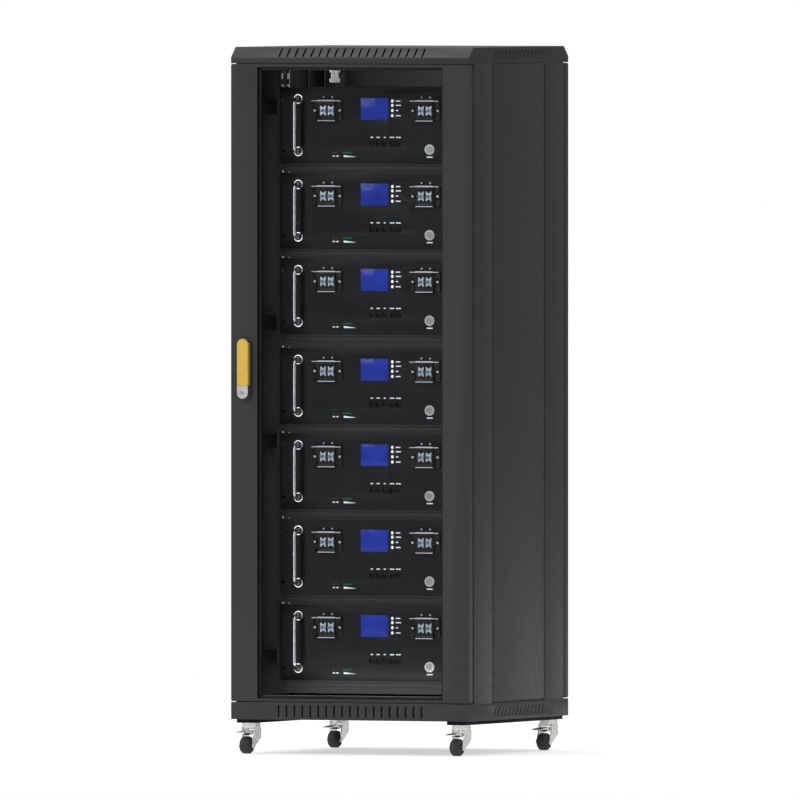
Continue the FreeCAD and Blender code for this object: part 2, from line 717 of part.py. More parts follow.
def switch_bezel():
    """Flanged sleeve in which the power button slides."""
    flange = rod(BEZEL_R, BEZEL_RISE, V(BUTTON_X, PANEL_FACE_Y - BEZEL_RISE, BUTTON_Z), Y_AXIS)
    barrel = rod(BEZEL_BARREL_R, BEZEL_DEPTH, V(BUTTON_X, PANEL_FACE_Y, BUTTON_Z), Y_AXIS)
    mouth = V(BUTTON_X, PANEL_FACE_Y - BEZEL_RISE, BUTTON_Z)
    bore = rod(BUTTON_R + RUNNING_FIT, BEZEL_DEPTH + BEZEL_RISE, mouth, Y_AXIS)
    return flange.fuse(barrel).cut(bore)


def power_button():
    start = V(BUTTON_X, PANEL_FACE_Y - BEZEL_RISE - BUTTON_RISE, BUTTON_Z)
    return rod(BUTTON_R, BUTTON_DEPTH, start, Y_AXIS)


def cell_places():
    """Centres of the cells: rows across the module, two deep, the rear row against the back."""
    back = CASE_END_Y - CASE_SHEET - CELL_BACK_GAP - CELL_DEPTH / 2
    front = back - CELL_DEPTH - CELL_ROW_GAP
    return [[(x, y) for x in row(CELLS_ACROSS, CELL_PITCH)] for y in (front, back)]


def battery_cell(x, y):
    """Prismatic cell with two poles on its top."""
    z0 = CASE_SHEET + CELL_LIFT
    top = z0 + CELL_HEIGHT
    half_w = CELL_WIDTH / 2
    half_d = CELL_DEPTH / 2
    can = block(x - half_w, x + half_w, y - half_d, y + half_d, z0, top)
    reach = half_d - CELL_POLE_INSET
    pole_feet = [V(x, y - reach, top), V(x, y + reach, top)]
    poles = [rod(CELL_POLE_R, CELL_POLE_HEIGHT, foot, Z_AXIS) for foot in pole_feet]
    return joined([can] + poles)


def battery_cells():
    return [battery_cell(x, y) for cells in cell_places() for x, y in cells]


def cell_busbars():
    """Links that put the cells in series: neighbour to neighbour, then across to the other row."""
    z0 = CASE_SHEET + CELL_LIFT + CELL_HEIGHT + CELL_POLE_HEIGHT
    z1 = z0 + BUSBAR_THICKNESS
    reach = CELL_DEPTH / 2 - CELL_POLE_INSET
    half = BUSBAR_WIDTH / 2
    bars = []
    for sense, cells in zip((1, -1), cell_places()):
        for index in range(CELLS_ACROSS - 1):
            x, y = cells[index]
            pole_y = y + sense * reach * (1 if index % 2 else -1)
            bars.append(block(x - half, x + CELL_PITCH + half, pole_y - half, pole_y + half, z0, z1))
    x, front_y = cell_places()[0][-1]
    back_y = cell_places()[1][-1][1]
    bars.append(block(x - half, x + half, front_y + reach - half, back_y - reach + half, z0, z1))
    return bars


def bms_board():
    y0 = RAIL_FACE_Y + BOARD_SETBACK
    half = BOARD_WIDTH / 2
    z0 = CASE_SHEET + BOARD_LIFT
    return block(-half, half, y0, y0 + BOARD_THICKNESS, z0, z0 + BOARD_HEIGHT)


def module_shelf():
    """Shelf under a module, with lips down at the front and the rear that reach behind the rails."""
    half = CASE_WIDTH / 2 + FIT_GAP
    lip_half = RAIL_SPAN / 2 - RAIL_SHEET - FIT_GAP
    y0 = RAIL_FACE_Y + RAIL_SHEET
    y1 = REAR_RAIL_Y - RAIL_SHEET
    return joined([
        block(-half, half, y0, y1, -SHELF_SHEET, 0),
        block(-lip_half, lip_half, y0, y0 + SHELF_SHEET, -SHELF_LIP, 0),
        block(-lip_half, lip_half, y1 - SHELF_SHEET, y1, -SHELF_LIP, 0),
        block(-half, -half + SHELF_SHEET, y0, y1, -SHELF_LIP, 0),
        block(half - SHELF_SHEET, half, y0, y1, -SHELF_LIP, 0),
    ])


def rack_screws():
    """Pan-head screws through the upper ear holes."""
    screws = []
    for x in (-HOLE_SPACING / 2, HOLE_SPACING / 2):
        head_front = V(x, PANEL_FACE_Y - SCREW_HEAD_HEIGHT, EAR_HOLE_HIGH)
        head = rod(SCREW_HEAD_R, SCREW_HEAD_HEIGHT, head_front, Y_AXIS)
        head = head.makeChamfer(SCREW_HEAD_HEIGHT / 3, [max(head.Edges, key=front_edge_rank)])
        shank = rod(SCREW_SHANK_R, SCREW_LENGTH, V(x, PANEL_FACE_Y, EAR_HOLE_HIGH), Y_AXIS)
        socket = rod(SOCKET_R, SCREW_HEAD_HEIGHT / 2, head_front, Y_AXIS)
        screws.append(head.fuse(shank).removeSplitter().cut(socket))
    return screws


def front_edge_rank(edge):
    """Ranks the foremost closed edge highest."""
    return -edge.CenterOfMass.y if edge.isClosed() else -HALF_D * 2


def cage_nuts():
    """Square nuts behind the rails, on the rack screws."""
    y0 = RAIL_FACE_Y + RAIL_SHEET
    nuts = []
    for x in (-HOLE_SPACING / 2, HOLE_SPACING / 2):
        nut = window(x, EAR_HOLE_HIGH, NUT_SIDE, NUT_SIDE, 0, y0, y0 + NUT_THICKNESS)
        bore = rod(SCREW_SHANK_R, NUT_THICKNESS, V(x, y0, EAR_HOLE_HIGH), Y_AXIS)
        nuts.append(nut.cut(bore))
    return nuts


# ---------------------------------------------------------------- doors
def hinge_bosses(shape):
    """Adds the two bored hinge blocks of the front door to a shape."""
    depth = HINGE_PIN_REACH + BOSS_FLOOR
    outer_x = HALF_W
    outer_y = -HALF_D
    blocks = []
    bores = []
    bore_depth = HINGE_PIN_REACH + CONTACT_GAP
    for z0, mouth in ((DOOR_BOTTOM, DOOR_BOTTOM), (DOOR_TOP - depth, DOOR_TOP - bore_depth)):
        blocks.append(block(outer_x - HINGE_BOSS, outer_x, outer_y, outer_y + HINGE_BOSS, z0, z0 + depth))
        bores.append(rod(HINGE_PIN_R + RUNNING_FIT, bore_depth, V(HINGE_X, HINGE_Y, mouth), Z_AXIS))
    return without(joined([shape] + blocks), bores)


def front_door_frame():
    """Two folded stiles and slim rails, hinge blocks on the right, the spindle hole on the left."""
    y0 = -HALF_D
    y1 = y0 + DOOR_THICKNESS
    outer = block(-HALF_W, HALF_W, y0, y1, DOOR_BOTTOM, DOOR_TOP)
    inner_x = HALF_W - DOOR_STILE
    z0 = DOOR_BOTTOM + DOOR_RAIL
    z1 = DOOR_TOP - DOOR_RAIL
    hollow = block(inner_x + DOOR_SHEET, HALF_W - DOOR_SHEET, y0 + DOOR_SHEET, y1, z0, z1)
    tools = [
        block(-inner_x, inner_x, y0, y1, z0, z1),
        hollow,
        mirrored_x(hollow),
        rod(SPINDLE_R + RUNNING_FIT, DOOR_SHEET, V(LOCK_X, y0, SPINDLE_Z), Y_AXIS),
    ]
    return hinge_bosses(without(outer, tools))


def front_door_glass():
    inner_x = HALF_W - DOOR_STILE
    y0 = -HALF_D + GLASS_SETBACK
    return block(-inner_x, inner_x, y0, y0 + GLASS_THICKNESS, DOOR_BOTTOM + DOOR_RAIL, DOOR_TOP - DOOR_RAIL)


def lock_housing():
    """Base plate on the stile and the case behind it that carries the spindle."""
    base_y = -HALF_D - LOCK_BASE
    half = LOCK_LENGTH / 2 + LOCK_BORDER
    base = stadium(LOCK_X, LOCK_HEIGHT, LOCK_WIDTH + 2 * LOCK_BORDER, LOCK_HEIGHT - half, LOCK_HEIGHT + half,
                   base_y, -HALF_D)
    case_y = -HALF_D + DOOR_SHEET
    half_w = LOCK_CASE_WIDTH / 2
    case = block(LOCK_X - half_w, LOCK_X + half_w, case_y, -HALF_D + DOOR_THICKNESS,
                 SPINDLE_Z - LOCK_CASE_HEIGHT / 2, SPINDLE_Z + LOCK_CASE_HEIGHT / 2)
    bore = rod(SPINDLE_R + RUNNING_FIT, DOOR_THICKNESS + LOCK_BASE, V(LOCK_X, base_y, SPINDLE_Z), Y_AXIS)
    return [base.cut(bore), case.cut(bore)]


def lever_outline(y0, y1):
    """The whole grip's outline, lever and lock end together."""
    half = LOCK_LENGTH / 2
    return stadium(LOCK_X, LOCK_HEIGHT, LOCK_WIDTH, LOCK_HEIGHT - half, LOCK_HEIGHT + half, y0, y1)


def lever_planes():
    """Back and front planes of the lever."""
    back = -HALF_D - LOCK_BASE - CONTACT_GAP
    return back, back - LEVER_THICKNESS


def lock_cylinder():
    """Fixed lower end of the grip, with the key slot."""
    front = lever_planes()[1]
    whole = lever_outline(front, -HALF_D - LOCK_BASE)
    sweep = rod(LEVER_RADIUS + 2 * CONTACT_GAP, LEVER_THICKNESS + 1, V(LOCK_X, front, SPINDLE_Z), Y_AXIS)
    slot_z = LOCK_HEIGHT - LOCK_LENGTH / 2 + LOCK_WIDTH / 2
    slot = window(LOCK_X, slot_z, KEY_SLOT_WIDTH, KEY_SLOT_LENGTH, 0, front, front + KEY_SLOT_DEPTH)
    return whole.cut(sweep).cut(slot)


def lock_spindle():
    """Shaft through the lock with a cross head for the lever in front and the cam at the back."""
    back, front = lever_planes()
    head_y = (back + front) / 2
    base_y = -HALF_D - LOCK_BASE
    head_start = V(LOCK_X - SPINDLE_HEAD_WIDTH / 2, head_y, SPINDLE_Z)
    head = rod(SPINDLE_HEAD_R, SPINDLE_HEAD_WIDTH, head_start, X_AXIS)
    pin_bore = rod(LEVER_PIN_R + RUNNING_FIT, SPINDLE_HEAD_WIDTH, head_start, X_AXIS)
    neck_start = head_y + SPINDLE_HEAD_R / 2
    neck = rod(SPINDLE_NECK_R, base_y - neck_start, V(LOCK_X, neck_start, SPINDLE_Z), Y_AXIS)
    shaft = rod(SPINDLE_R, -CAM_Y - base_y, V(LOCK_X, base_y, SPINDLE_Z), Y_AXIS)
    return joined([head, neck, shaft, cam(LOCK_X, SPINDLE_Z)]).cut(pin_bore)


def cam(x, z):
    """Cam behind the front left post's window, pointing away from the door's middle."""
    tip = block(x - CAM_REACH, x, -CAM_Y, -CAM_Y + CAM_THICKNESS, z - CAM_WIDTH / 2, z + CAM_WIDTH / 2)
    hub = rod(CAM_WIDTH / 2, CAM_THICKNESS, V(x, -CAM_Y, z), Y_AXIS)
    return tip.fuse(hub).removeSplitter()


def lock_lever():
    """Swing-out lever, pocketed at its top for the spindle head and its pin."""
    back, front = lever_planes()
    reach = rod(LEVER_RADIUS, LEVER_THICKNESS, V(LOCK_X, front, SPINDLE_Z), Y_AXIS)
    lever = lever_outline(front, back).common(reach)
    head_y = (back + front) / 2
    half_w = LOCK_WIDTH / 2
    top = SPINDLE_Z + half_w
    half_t = LEVER_THICKNESS / 2
    corner = block(LOCK_X - half_w, LOCK_X + half_w, head_y, back, SPINDLE_Z, top)
    keep = rod(half_t, LOCK_WIDTH, V(LOCK_X - half_w, head_y, SPINDLE_Z), X_AXIS)
    lever = lever.cut(corner.cut(keep))
    pocket = window(LOCK_X, SPINDLE_Z, SPINDLE_HEAD_WIDTH, LEVER_POCKET_HEIGHT, CONTACT_GAP,
                    front + LEVER_SKIN, back)
    pin_half = SPINDLE_HEAD_WIDTH / 2 + 2 * CONTACT_GAP
    pin = rod(LEVER_PIN_R, 2 * pin_half, V(LOCK_X - pin_half, head_y, SPINDLE_Z), X_AXIS)
    return lever.cut(pocket).fuse(pin).removeSplitter()


def rear_door():
    """Folded sheet door, drawn as a front door and turned to the rear."""
    y0 = -HALF_D
    y1 = y0 + DOOR_THICKNESS
    outer = block(-HALF_W, HALF_W, y0, y1, DOOR_BOTTOM, DOOR_TOP)
    half = HALF_W - DOOR_SHEET
    seam_x = HALF_W - DOOR_STILE
    tools = [
        block(-half, half, y0 + REAR_DOOR_SHEET, y1, DOOR_BOTTOM + DOOR_SHEET, DOOR_TOP - DOOR_SHEET),
        rod(REAR_BARREL_R + RUNNING_FIT, REAR_DOOR_SHEET, V(LOCK_X, y0, LOCK_HEIGHT), Y_AXIS),
    ]
    tools += [block(x - SEAM_WIDTH / 2, x + SEAM_WIDTH / 2, y0, y0 + SEAM_DEPTH, DOOR_BOTTOM, DOOR_TOP)
              for x in (-seam_x, seam_x)]
    return turned(hinge_bosses(without(outer, tools)))


def rear_lock():
    """Quarter-turn key barrel with its cam."""
    y0 = -REAR_LIMIT_Y
    head = rod(REAR_HEAD_R, REAR_HEAD, V(LOCK_X, y0, LOCK_HEIGHT), Y_AXIS)
    barrel = rod(REAR_BARREL_R, DOOR_THICKNESS, V(LOCK_X, y0 + REAR_HEAD, LOCK_HEIGHT), Y_AXIS)
    shaft = rod(SPINDLE_R, HALF_D - CAM_Y, V(LOCK_X, -HALF_D, LOCK_HEIGHT), Y_AXIS)
    slot = window(LOCK_X, LOCK_HEIGHT, KEY_SLOT_WIDTH, KEY_SLOT_LENGTH, 0, y0, y0 + KEY_SLOT_DEPTH)
    return turned(joined([head, barrel, shaft, cam(LOCK_X, LOCK_HEIGHT)]).cut(slot))


# ---------------------------------------------------------------- casters, each drawn about its swivel axis
CROWN_TOP = CASTER_HEIGHT - RACE_THICKNESS - CONTACT_GAP
CROWN_BOTTOM = CROWN_TOP - CROWN_THICKNESS
LEG_OUTER = LEG_GAP / 2 + LEG_THICKNESS


def caster_places():
    """Names and swivel axes of the four casters."""
    return [
        ("front_left", -CASTER_X, -CASTER_Y),
        ("front_right", CASTER_X, -CASTER_Y),
        ("rear_left", -CASTER_X, CASTER_Y),
        ("rear_right", CASTER_X, CASTER_Y),
    ]


def caster_stem():
    """Fixed kingpin with its lower head, the upper race and the nut inside the channel."""
    head_top = CROWN_BOTTOM - CONTACT_GAP
    nut_z = CASTER_HEIGHT + CHANNEL_SHEET
    return joined([
        rod(KINGPIN_HEAD_R, KINGPIN_HEAD, V(0, 0, head_top - KINGPIN_HEAD), Z_AXIS),
        rod(KINGPIN_R, nut_z + STEM_NUT - head_top, V(0, 0, head_top), Z_AXIS),
        rod(RACE_R, RACE_THICKNESS, V(0, 0, CASTER_HEIGHT - RACE_THICKNESS), Z_AXIS),
        rod(STEM_NUT_R, STEM_NUT, V(0, 0, nut_z), Z_AXIS),
    ])


def caster_fork():
    """Crown and two legs that trail to the front, with the axle and the pedal's pin."""
    axle = V(-LEG_OUTER - AXLE_HEAD, -WHEEL_TRAIL, WHEEL_R)
    pivot = V(-LEG_OUTER, -PEDAL_PIVOT_TRAIL, PEDAL_PIVOT_HEIGHT)
    rear = RACE_R - LEG_THICKNESS / 2
    front = -PEDAL_PIVOT_TRAIL - 2 * PEDAL_PIN_R
    eye = 2 * AXLE_R + LEG_THICKNESS / 2
    top = CROWN_BOTTOM + LEG_THICKNESS
    outline = [
        V(-LEG_OUTER, rear, top),
        V(-LEG_OUTER, rear, WHEEL_R + LEG_OUTER),
        V(-LEG_OUTER, -WHEEL_TRAIL + eye / 2, WHEEL_R - eye),
        V(-LEG_OUTER, -WHEEL_TRAIL - eye / 2, WHEEL_R - eye),
        V(-LEG_OUTER, -WHEEL_TRAIL - eye, WHEEL_R),
        V(-LEG_OUTER, -WHEEL_TRAIL - eye / 2, WHEEL_R + eye),
        V(-LEG_OUTER, front, PEDAL_PIVOT_HEIGHT - PEDAL_PIN_R),
        V(-LEG_OUTER, front, top),
    ]
    leg = prism(outline, V(LEG_THICKNESS, 0, 0))
    crown = rod(RACE_R, CROWN_THICKNESS, V(0, 0, CROWN_BOTTOM), Z_AXIS)
    span = 2 * (LEG_OUTER + AXLE_HEAD)
    tools = [
        rod(KINGPIN_R + RUNNING_FIT, CROWN_THICKNESS, V(0, 0, CROWN_BOTTOM), Z_AXIS),
        rod(AXLE_R, span, axle, X_AXIS),
        rod(PEDAL_PIN_R, span, pivot, X_AXIS),
    ]
    fork = without(joined([crown, leg, mirrored_x(leg)]), tools)
    axle_heads = [rod(AXLE_HEAD_R, AXLE_HEAD, V(x, -WHEEL_TRAIL, WHEEL_R), X_AXIS)
                  for x in (-LEG_OUTER - AXLE_HEAD, LEG_OUTER)]
    axle_solid = joined([rod(AXLE_R, span, axle, X_AXIS)] + axle_heads)
    return [fork, axle_solid, rod(PEDAL_PIN_R, 2 * LEG_OUTER, pivot, X_AXIS)]


def caster_wheel():
    """Wheel with bevelled tread edges, bored for the axle."""
    half = WHEEL_WIDTH / 2
    inner = WHEEL_R - WHEEL_CHAMFER
    bore = AXLE_R + RUNNING_FIT
    profile = [
        V(-half, 0, bore), V(-half, 0, inner), V(-half + WHEEL_CHAMFER, 0, WHEEL_R),
        V(half - WHEEL_CHAMFER, 0, WHEEL_R), V(half, 0, inner), V(half, 0, bore),
    ]
    outline = Part.Face(Part.makePolygon(profile + [profile[0]]))
    wheel = outline.revolve(CENTRE, X_AXIS, 360)
    return Part.makeSolid(wheel.Shells[0]).translated(V(0, -WHEEL_TRAIL, WHEEL_R))


def caster_pedal():
    """Brake pedal: a bent plate with its shoe over the wheel and its tube on the pin."""
    half = PEDAL_WIDTH / 2
    pivot_y = -PEDAL_PIVOT_TRAIL
    level = PEDAL_PIVOT_HEIGHT
    top = level + PEDAL_TUBE_R - CONTACT_GAP
    shoe = WHEEL_R / 4
    outline = [
        V(-half, pivot_y, top),
        V(-half, -PEDAL_REACH + 3 * PEDAL_THICKNESS, level + PEDAL_THICKNESS / 2),
        V(-half, -PEDAL_REACH, level),
        V(-half, -PEDAL_REACH, level - PEDAL_THICKNESS),
        V(-half, -PEDAL_REACH + 3 * PEDAL_THICKNESS, level - PEDAL_THICKNESS / 2),
        V(-half, -WHEEL_TRAIL - 2 * shoe, level - PEDAL_THICKNESS / 2),
        V(-half, -WHEEL_TRAIL - shoe, SHOE_BOTTOM),
        V(-half, -WHEEL_TRAIL + shoe / 2, SHOE_BOTTOM),
        V(-half, pivot_y, level - PEDAL_TUBE_R + CONTACT_GAP),
    ]
    start = V(-half, pivot_y, level)
    tube = rod(PEDAL_TUBE_R, PEDAL_WIDTH, start, X_AXIS)
    bore = rod(PEDAL_PIN_R + RUNNING_FIT, PEDAL_WIDTH, start, X_AXIS)
    return prism(outline, V(PEDAL_WIDTH, 0, 0)).fuse(tube).removeSplitter().cut(bore)


# ---------------------------------------------------------------- the STEP files
def main():
    os.makedirs("parts", exist_ok=True)

    save("base_frame", [base_frame()])
    save("caster_channels", caster_channels())
    save("corner_posts", corner_posts())
    save("cross_rails", cross_rails())
    save("roof_cover", [roof_cover()])
    save("side_panel_right", [side_panel()])
    save("side_panel_left", [mirrored_x(side_panel())])
    save("mounting_rails", mounting_rails())
    save("rail_brackets", rail_brackets())
    save("hinge_pins", hinge_pins())

    save("module_shelves", for_each_module([module_shelf()]))
    save("module_cases", for_each_module([module_case()]))
    save("module_lids", for_each_module([module_lid()]))
    save("front_panels", for_each_module([front_panel()]))
    save("module_handles", for_each_module(module_handles()))
    save("terminal_housings", for_each_module(terminal_housings()))
    save("terminal_bolts", for_each_module(terminal_bolts()))
    save("display_windows", for_each_module([display_window()]))
    save("port_housings", for_each_module(port_housings()))
    save("switch_bezels", for_each_module([switch_bezel()]))
    save("battery_cells", for_each_module(battery_cells()))
    save("cell_busbars", for_each_module(cell_busbars()))
    save("bms_boards", for_each_module([bms_board()]))
    save("rack_screws", for_each_module(rack_screws()))
    save("cage_nuts", for_each_module(cage_nuts()))
    for number, bottom in enumerate(MODULES, start=1):
        lift = V(0, 0, bottom)
        save("power_button_%d" % number, [power_button().translated(lift)])
        save("keypad_%d" % number, [key.translated(lift) for key in keypad()])

    save("front_door_frame", [front_door_frame()])
    save("front_door_glass", [front_door_glass()])
    save("lock_housing", lock_housing())
    save("lock_cylinder", [lock_cylinder()])
    save("lock_spindle", [lock_spindle()])
    save("lock_lever", [lock_lever()])
    save("rear_door", [rear_door()])
    save("rear_lock", [rear_lock()])

    places = caster_places()
    save("caster_stems", [caster_stem().translated(V(x, y, 0)) for name, x, y in places])
    for name, x, y in places:
        place = V(x, y, 0)
        save("caster_fork_" + name, [piece.translated(place) for piece in caster_fork()])
        save("caster_wheel_" + name, [caster_wheel().translated(place)])
        save("caster_pedal_" + name, [caster_pedal().translated(place)])


main()
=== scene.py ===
"""Finished look of a battery rack cabinet: its paint, glass, lock, casters and seven battery modules.

Everything is in metres in the cabinet's own frame: +Z up, the glass door faces -Y, and the origin is on the
floor.
"""

import json
import math

import bmesh
import bpy
from bpy.props import FloatProperty, FloatVectorProperty, PointerProperty
from mathutils import Matrix, Vector

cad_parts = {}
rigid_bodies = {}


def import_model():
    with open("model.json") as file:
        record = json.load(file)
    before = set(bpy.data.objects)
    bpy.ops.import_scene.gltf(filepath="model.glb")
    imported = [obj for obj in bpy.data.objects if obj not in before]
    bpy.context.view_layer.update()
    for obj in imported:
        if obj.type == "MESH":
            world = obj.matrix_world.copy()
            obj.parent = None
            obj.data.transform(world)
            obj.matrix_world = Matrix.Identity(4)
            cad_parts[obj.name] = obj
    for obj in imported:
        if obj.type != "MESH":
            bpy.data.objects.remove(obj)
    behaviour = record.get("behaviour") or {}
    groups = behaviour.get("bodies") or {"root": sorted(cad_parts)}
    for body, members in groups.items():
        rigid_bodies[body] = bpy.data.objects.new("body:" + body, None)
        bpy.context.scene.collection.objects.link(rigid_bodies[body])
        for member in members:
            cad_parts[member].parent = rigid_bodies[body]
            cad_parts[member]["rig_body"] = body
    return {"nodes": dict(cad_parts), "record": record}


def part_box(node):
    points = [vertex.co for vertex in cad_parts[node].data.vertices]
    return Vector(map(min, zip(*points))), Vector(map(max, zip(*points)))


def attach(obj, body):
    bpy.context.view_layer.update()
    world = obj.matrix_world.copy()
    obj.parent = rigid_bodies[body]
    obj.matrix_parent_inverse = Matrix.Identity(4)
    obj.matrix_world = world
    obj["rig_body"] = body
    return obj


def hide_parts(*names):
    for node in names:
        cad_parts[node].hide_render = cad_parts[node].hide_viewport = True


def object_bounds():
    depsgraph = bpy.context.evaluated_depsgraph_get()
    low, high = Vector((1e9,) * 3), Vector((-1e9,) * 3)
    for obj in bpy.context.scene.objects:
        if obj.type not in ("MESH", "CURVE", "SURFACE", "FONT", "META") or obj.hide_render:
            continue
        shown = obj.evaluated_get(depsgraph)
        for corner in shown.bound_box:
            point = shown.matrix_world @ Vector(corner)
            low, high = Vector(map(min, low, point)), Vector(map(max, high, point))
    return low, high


bl_info = {
    "name": "Battery Rack Cabinet",
    "version": (1, 0, 0),
    "blender": (4, 5, 0),
    "location": "View3D > Sidebar > Battery Rack",
    "description": "Builds the finishes and small parts of a rack cabinet with seven battery modules",
    "category": "Object",
}

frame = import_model()
CAD_BOX = [list(corner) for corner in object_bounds()]

MM = 0.001
MODULES = range(1, 8)
CORNERS = ("front_left", "front_right", "rear_left", "rear_right")

# Sizes and places on a module's front, in millimetres: x from its centre line, z from its lower edge.
PANEL_HEIGHT = 177.0
BUTTON_CENTRE_Z = 33.5
HANDLE_FOOT_Z = (28.0, 150.0)
SCREEN_Z = 102.0
SCREEN_HEIGHT = 51.0
KEY_LABELS = ((112.0, 12.0), (124.0, 6.0), (136.0, 13.0), (146.0, 11.0))
KEY_LABEL_X = 51.5
PORT_LABELS = ((-9.0, 6.0), (7.0, 8.0), (23.5, 5.0), (42.0, 11.0), (58.0, 12.0))
PORT_LABEL_Z = 61.5
LAMP_LABELS = ((-105.0, 6.0), (-96.0, 6.0))
LAMP_LABEL_Z = 17.5
STATUS_LAMPS = ((-105.0, "lamp_green"), (-96.0, "lamp_red"))
CHARGE_LAMPS = (-80.0, -75.5, -71.0, -66.5, -62.0)
LAMP_Z = 25.5
TERMINAL_CENTRES = (-120.0, 127.0)
TERMINAL_Z = 123.5
TERMINAL_HALF_HEIGHT = 23.5
POLE_OFFSET = 9.7

# Other sizes in millimetres, and directions.
SHELF_DROP = 15.5
REAR_LOCK_X = 265.0
FORWARD = (0, -1, 0)
BACKWARD = (0, 1, 0)


# ---------------------------------------------------------------- values that a user may change
def colour_property(name, description, default):
    """A colour picker."""
    return FloatVectorProperty(name=name, description=description, default=default, subtype="COLOR",
                               size=3, min=0.0, max=1.0)


def length_property(name, description, default):
    """A length in metres."""
    return FloatProperty(name=name, description=description, default=default, unit="LENGTH", min=0.0)


def factor_property(name, description, default):
    """A share between 0 and 1."""
    return FloatProperty(name=name, description=description, default=default, subtype="FACTOR", min=0.0,
                         max=1.0)


def strength_property(name, description, default):
    """Brightness of a light or of a glowing surface."""
    return FloatProperty(name=name, description=description, default=default, min=0.0)


class CabinetFinish(bpy.types.PropertyGroup):
    """Colours and edge sizes of the cabinet."""

    coat: colour_property("Powder coat", "Colour of the doors, panels, roof and plinth",
                          (0.0235, 0.0235, 0.024))
    coat_roughness: factor_property("Coat roughness", "How matt the powder coat is", 0.5)
    inner_coat: colour_property("Inner coat", "Colour of the rails and shelves", (0.012, 0.012, 0.0125))
    fold_radius: length_property("Fold radius", "Rounding of folded sheet edges", 0.7 * MM)
    glass_tint: colour_property("Glass tint", "Light that the door glass lets through", (0.86, 0.87, 0.88))
    gasket_width: length_property("Gasket width", "Width of the strip that holds the glass", 7 * MM)
    gasket_depth: length_property("Gasket depth", "Depth of the strip that holds the glass", 7 * MM)
    filter_thickness: length_property("Filter thickness", "Thickness of the filter mats behind the vents",
                                      4 * MM)
    lever: colour_property("Lever", "Enamel of the lock's lever", (0.57, 0.37, 0.05))
    zinc: colour_property("Zinc", "Zinc plating of the fittings and casters", (0.72, 0.74, 0.71))
    tyre: colour_property("Tyre", "Colour of the caster wheels", (0.009, 0.009, 0.0095))


class ModuleFinish(bpy.types.PropertyGroup):
    """Colours and small sizes of the battery modules."""

    coat: colour_property("Panel paint", "Colour of the modules' front panels and cases",
                          (0.006, 0.0066, 0.0072))
    chrome: colour_property("Handle plating", "Plating of the handles", (0.94, 0.95, 0.96))
    screen: colour_property("Screen", "Colour of the lit screens", (0.018, 0.036, 0.33))
    screen_strength: strength_property("Screen light", "Brightness of the screens", 0.4)
    key: colour_property("Keys", "Colour of the keys and printed marks", (0.82, 0.82, 0.83))
    # The keys and printed marks glow though they hold no lamp: painted light.
    painted_key_glow: strength_property("Key glow", "Back light of the keys", 0.9)
    ink_height: length_property("Ink thickness", "Thickness of the printed marks", 0.15 * MM)
    mark_height: length_property("Mark height", "Height of the printed marks", 2.6 * MM)
    lamp_radius: length_property("Lamp radius", "Radius of the status lamps", 1.5 * MM)
    cell_film: colour_property("Cell film", "Film round the battery cells", (0.02, 0.08, 0.3))


class StudioSettings(bpy.types.PropertyGroup):
    """Camera and light."""

    azimuth: FloatProperty(name="Azimuth", description="Camera's turn to the right of the front",
                           default=math.radians(22.86), subtype="ANGLE")
    elevation: FloatProperty(name="Elevation", description="Camera's height above the horizon",
                             default=math.radians(1.04), subtype="ANGLE")
    distance: length_property("Distance", "From the camera to the cabinet's axis", 78.6)
    aim_height: length_property("Aim height", "Height that the camera looks at", 0.8192)
    view_width: length_property("View width", "Width of the view at the cabinet's axis", 1.8635)
    bay_light: strength_property("Bay light", "Strength of the light just behind the door's stiles", 0.3)
    head_light: strength_property("Head light", "Strength of the light in the free unit's head", 1.5)
    foot_light: strength_property("Foot light", "Strength of the light above the lowest rail", 0.35)
    floor_size: length_property("Floor size", "Half the length of the floor's side", 3.0)
    light: strength_property("Sky light", "Strength of the soft light from all round", 1.0)


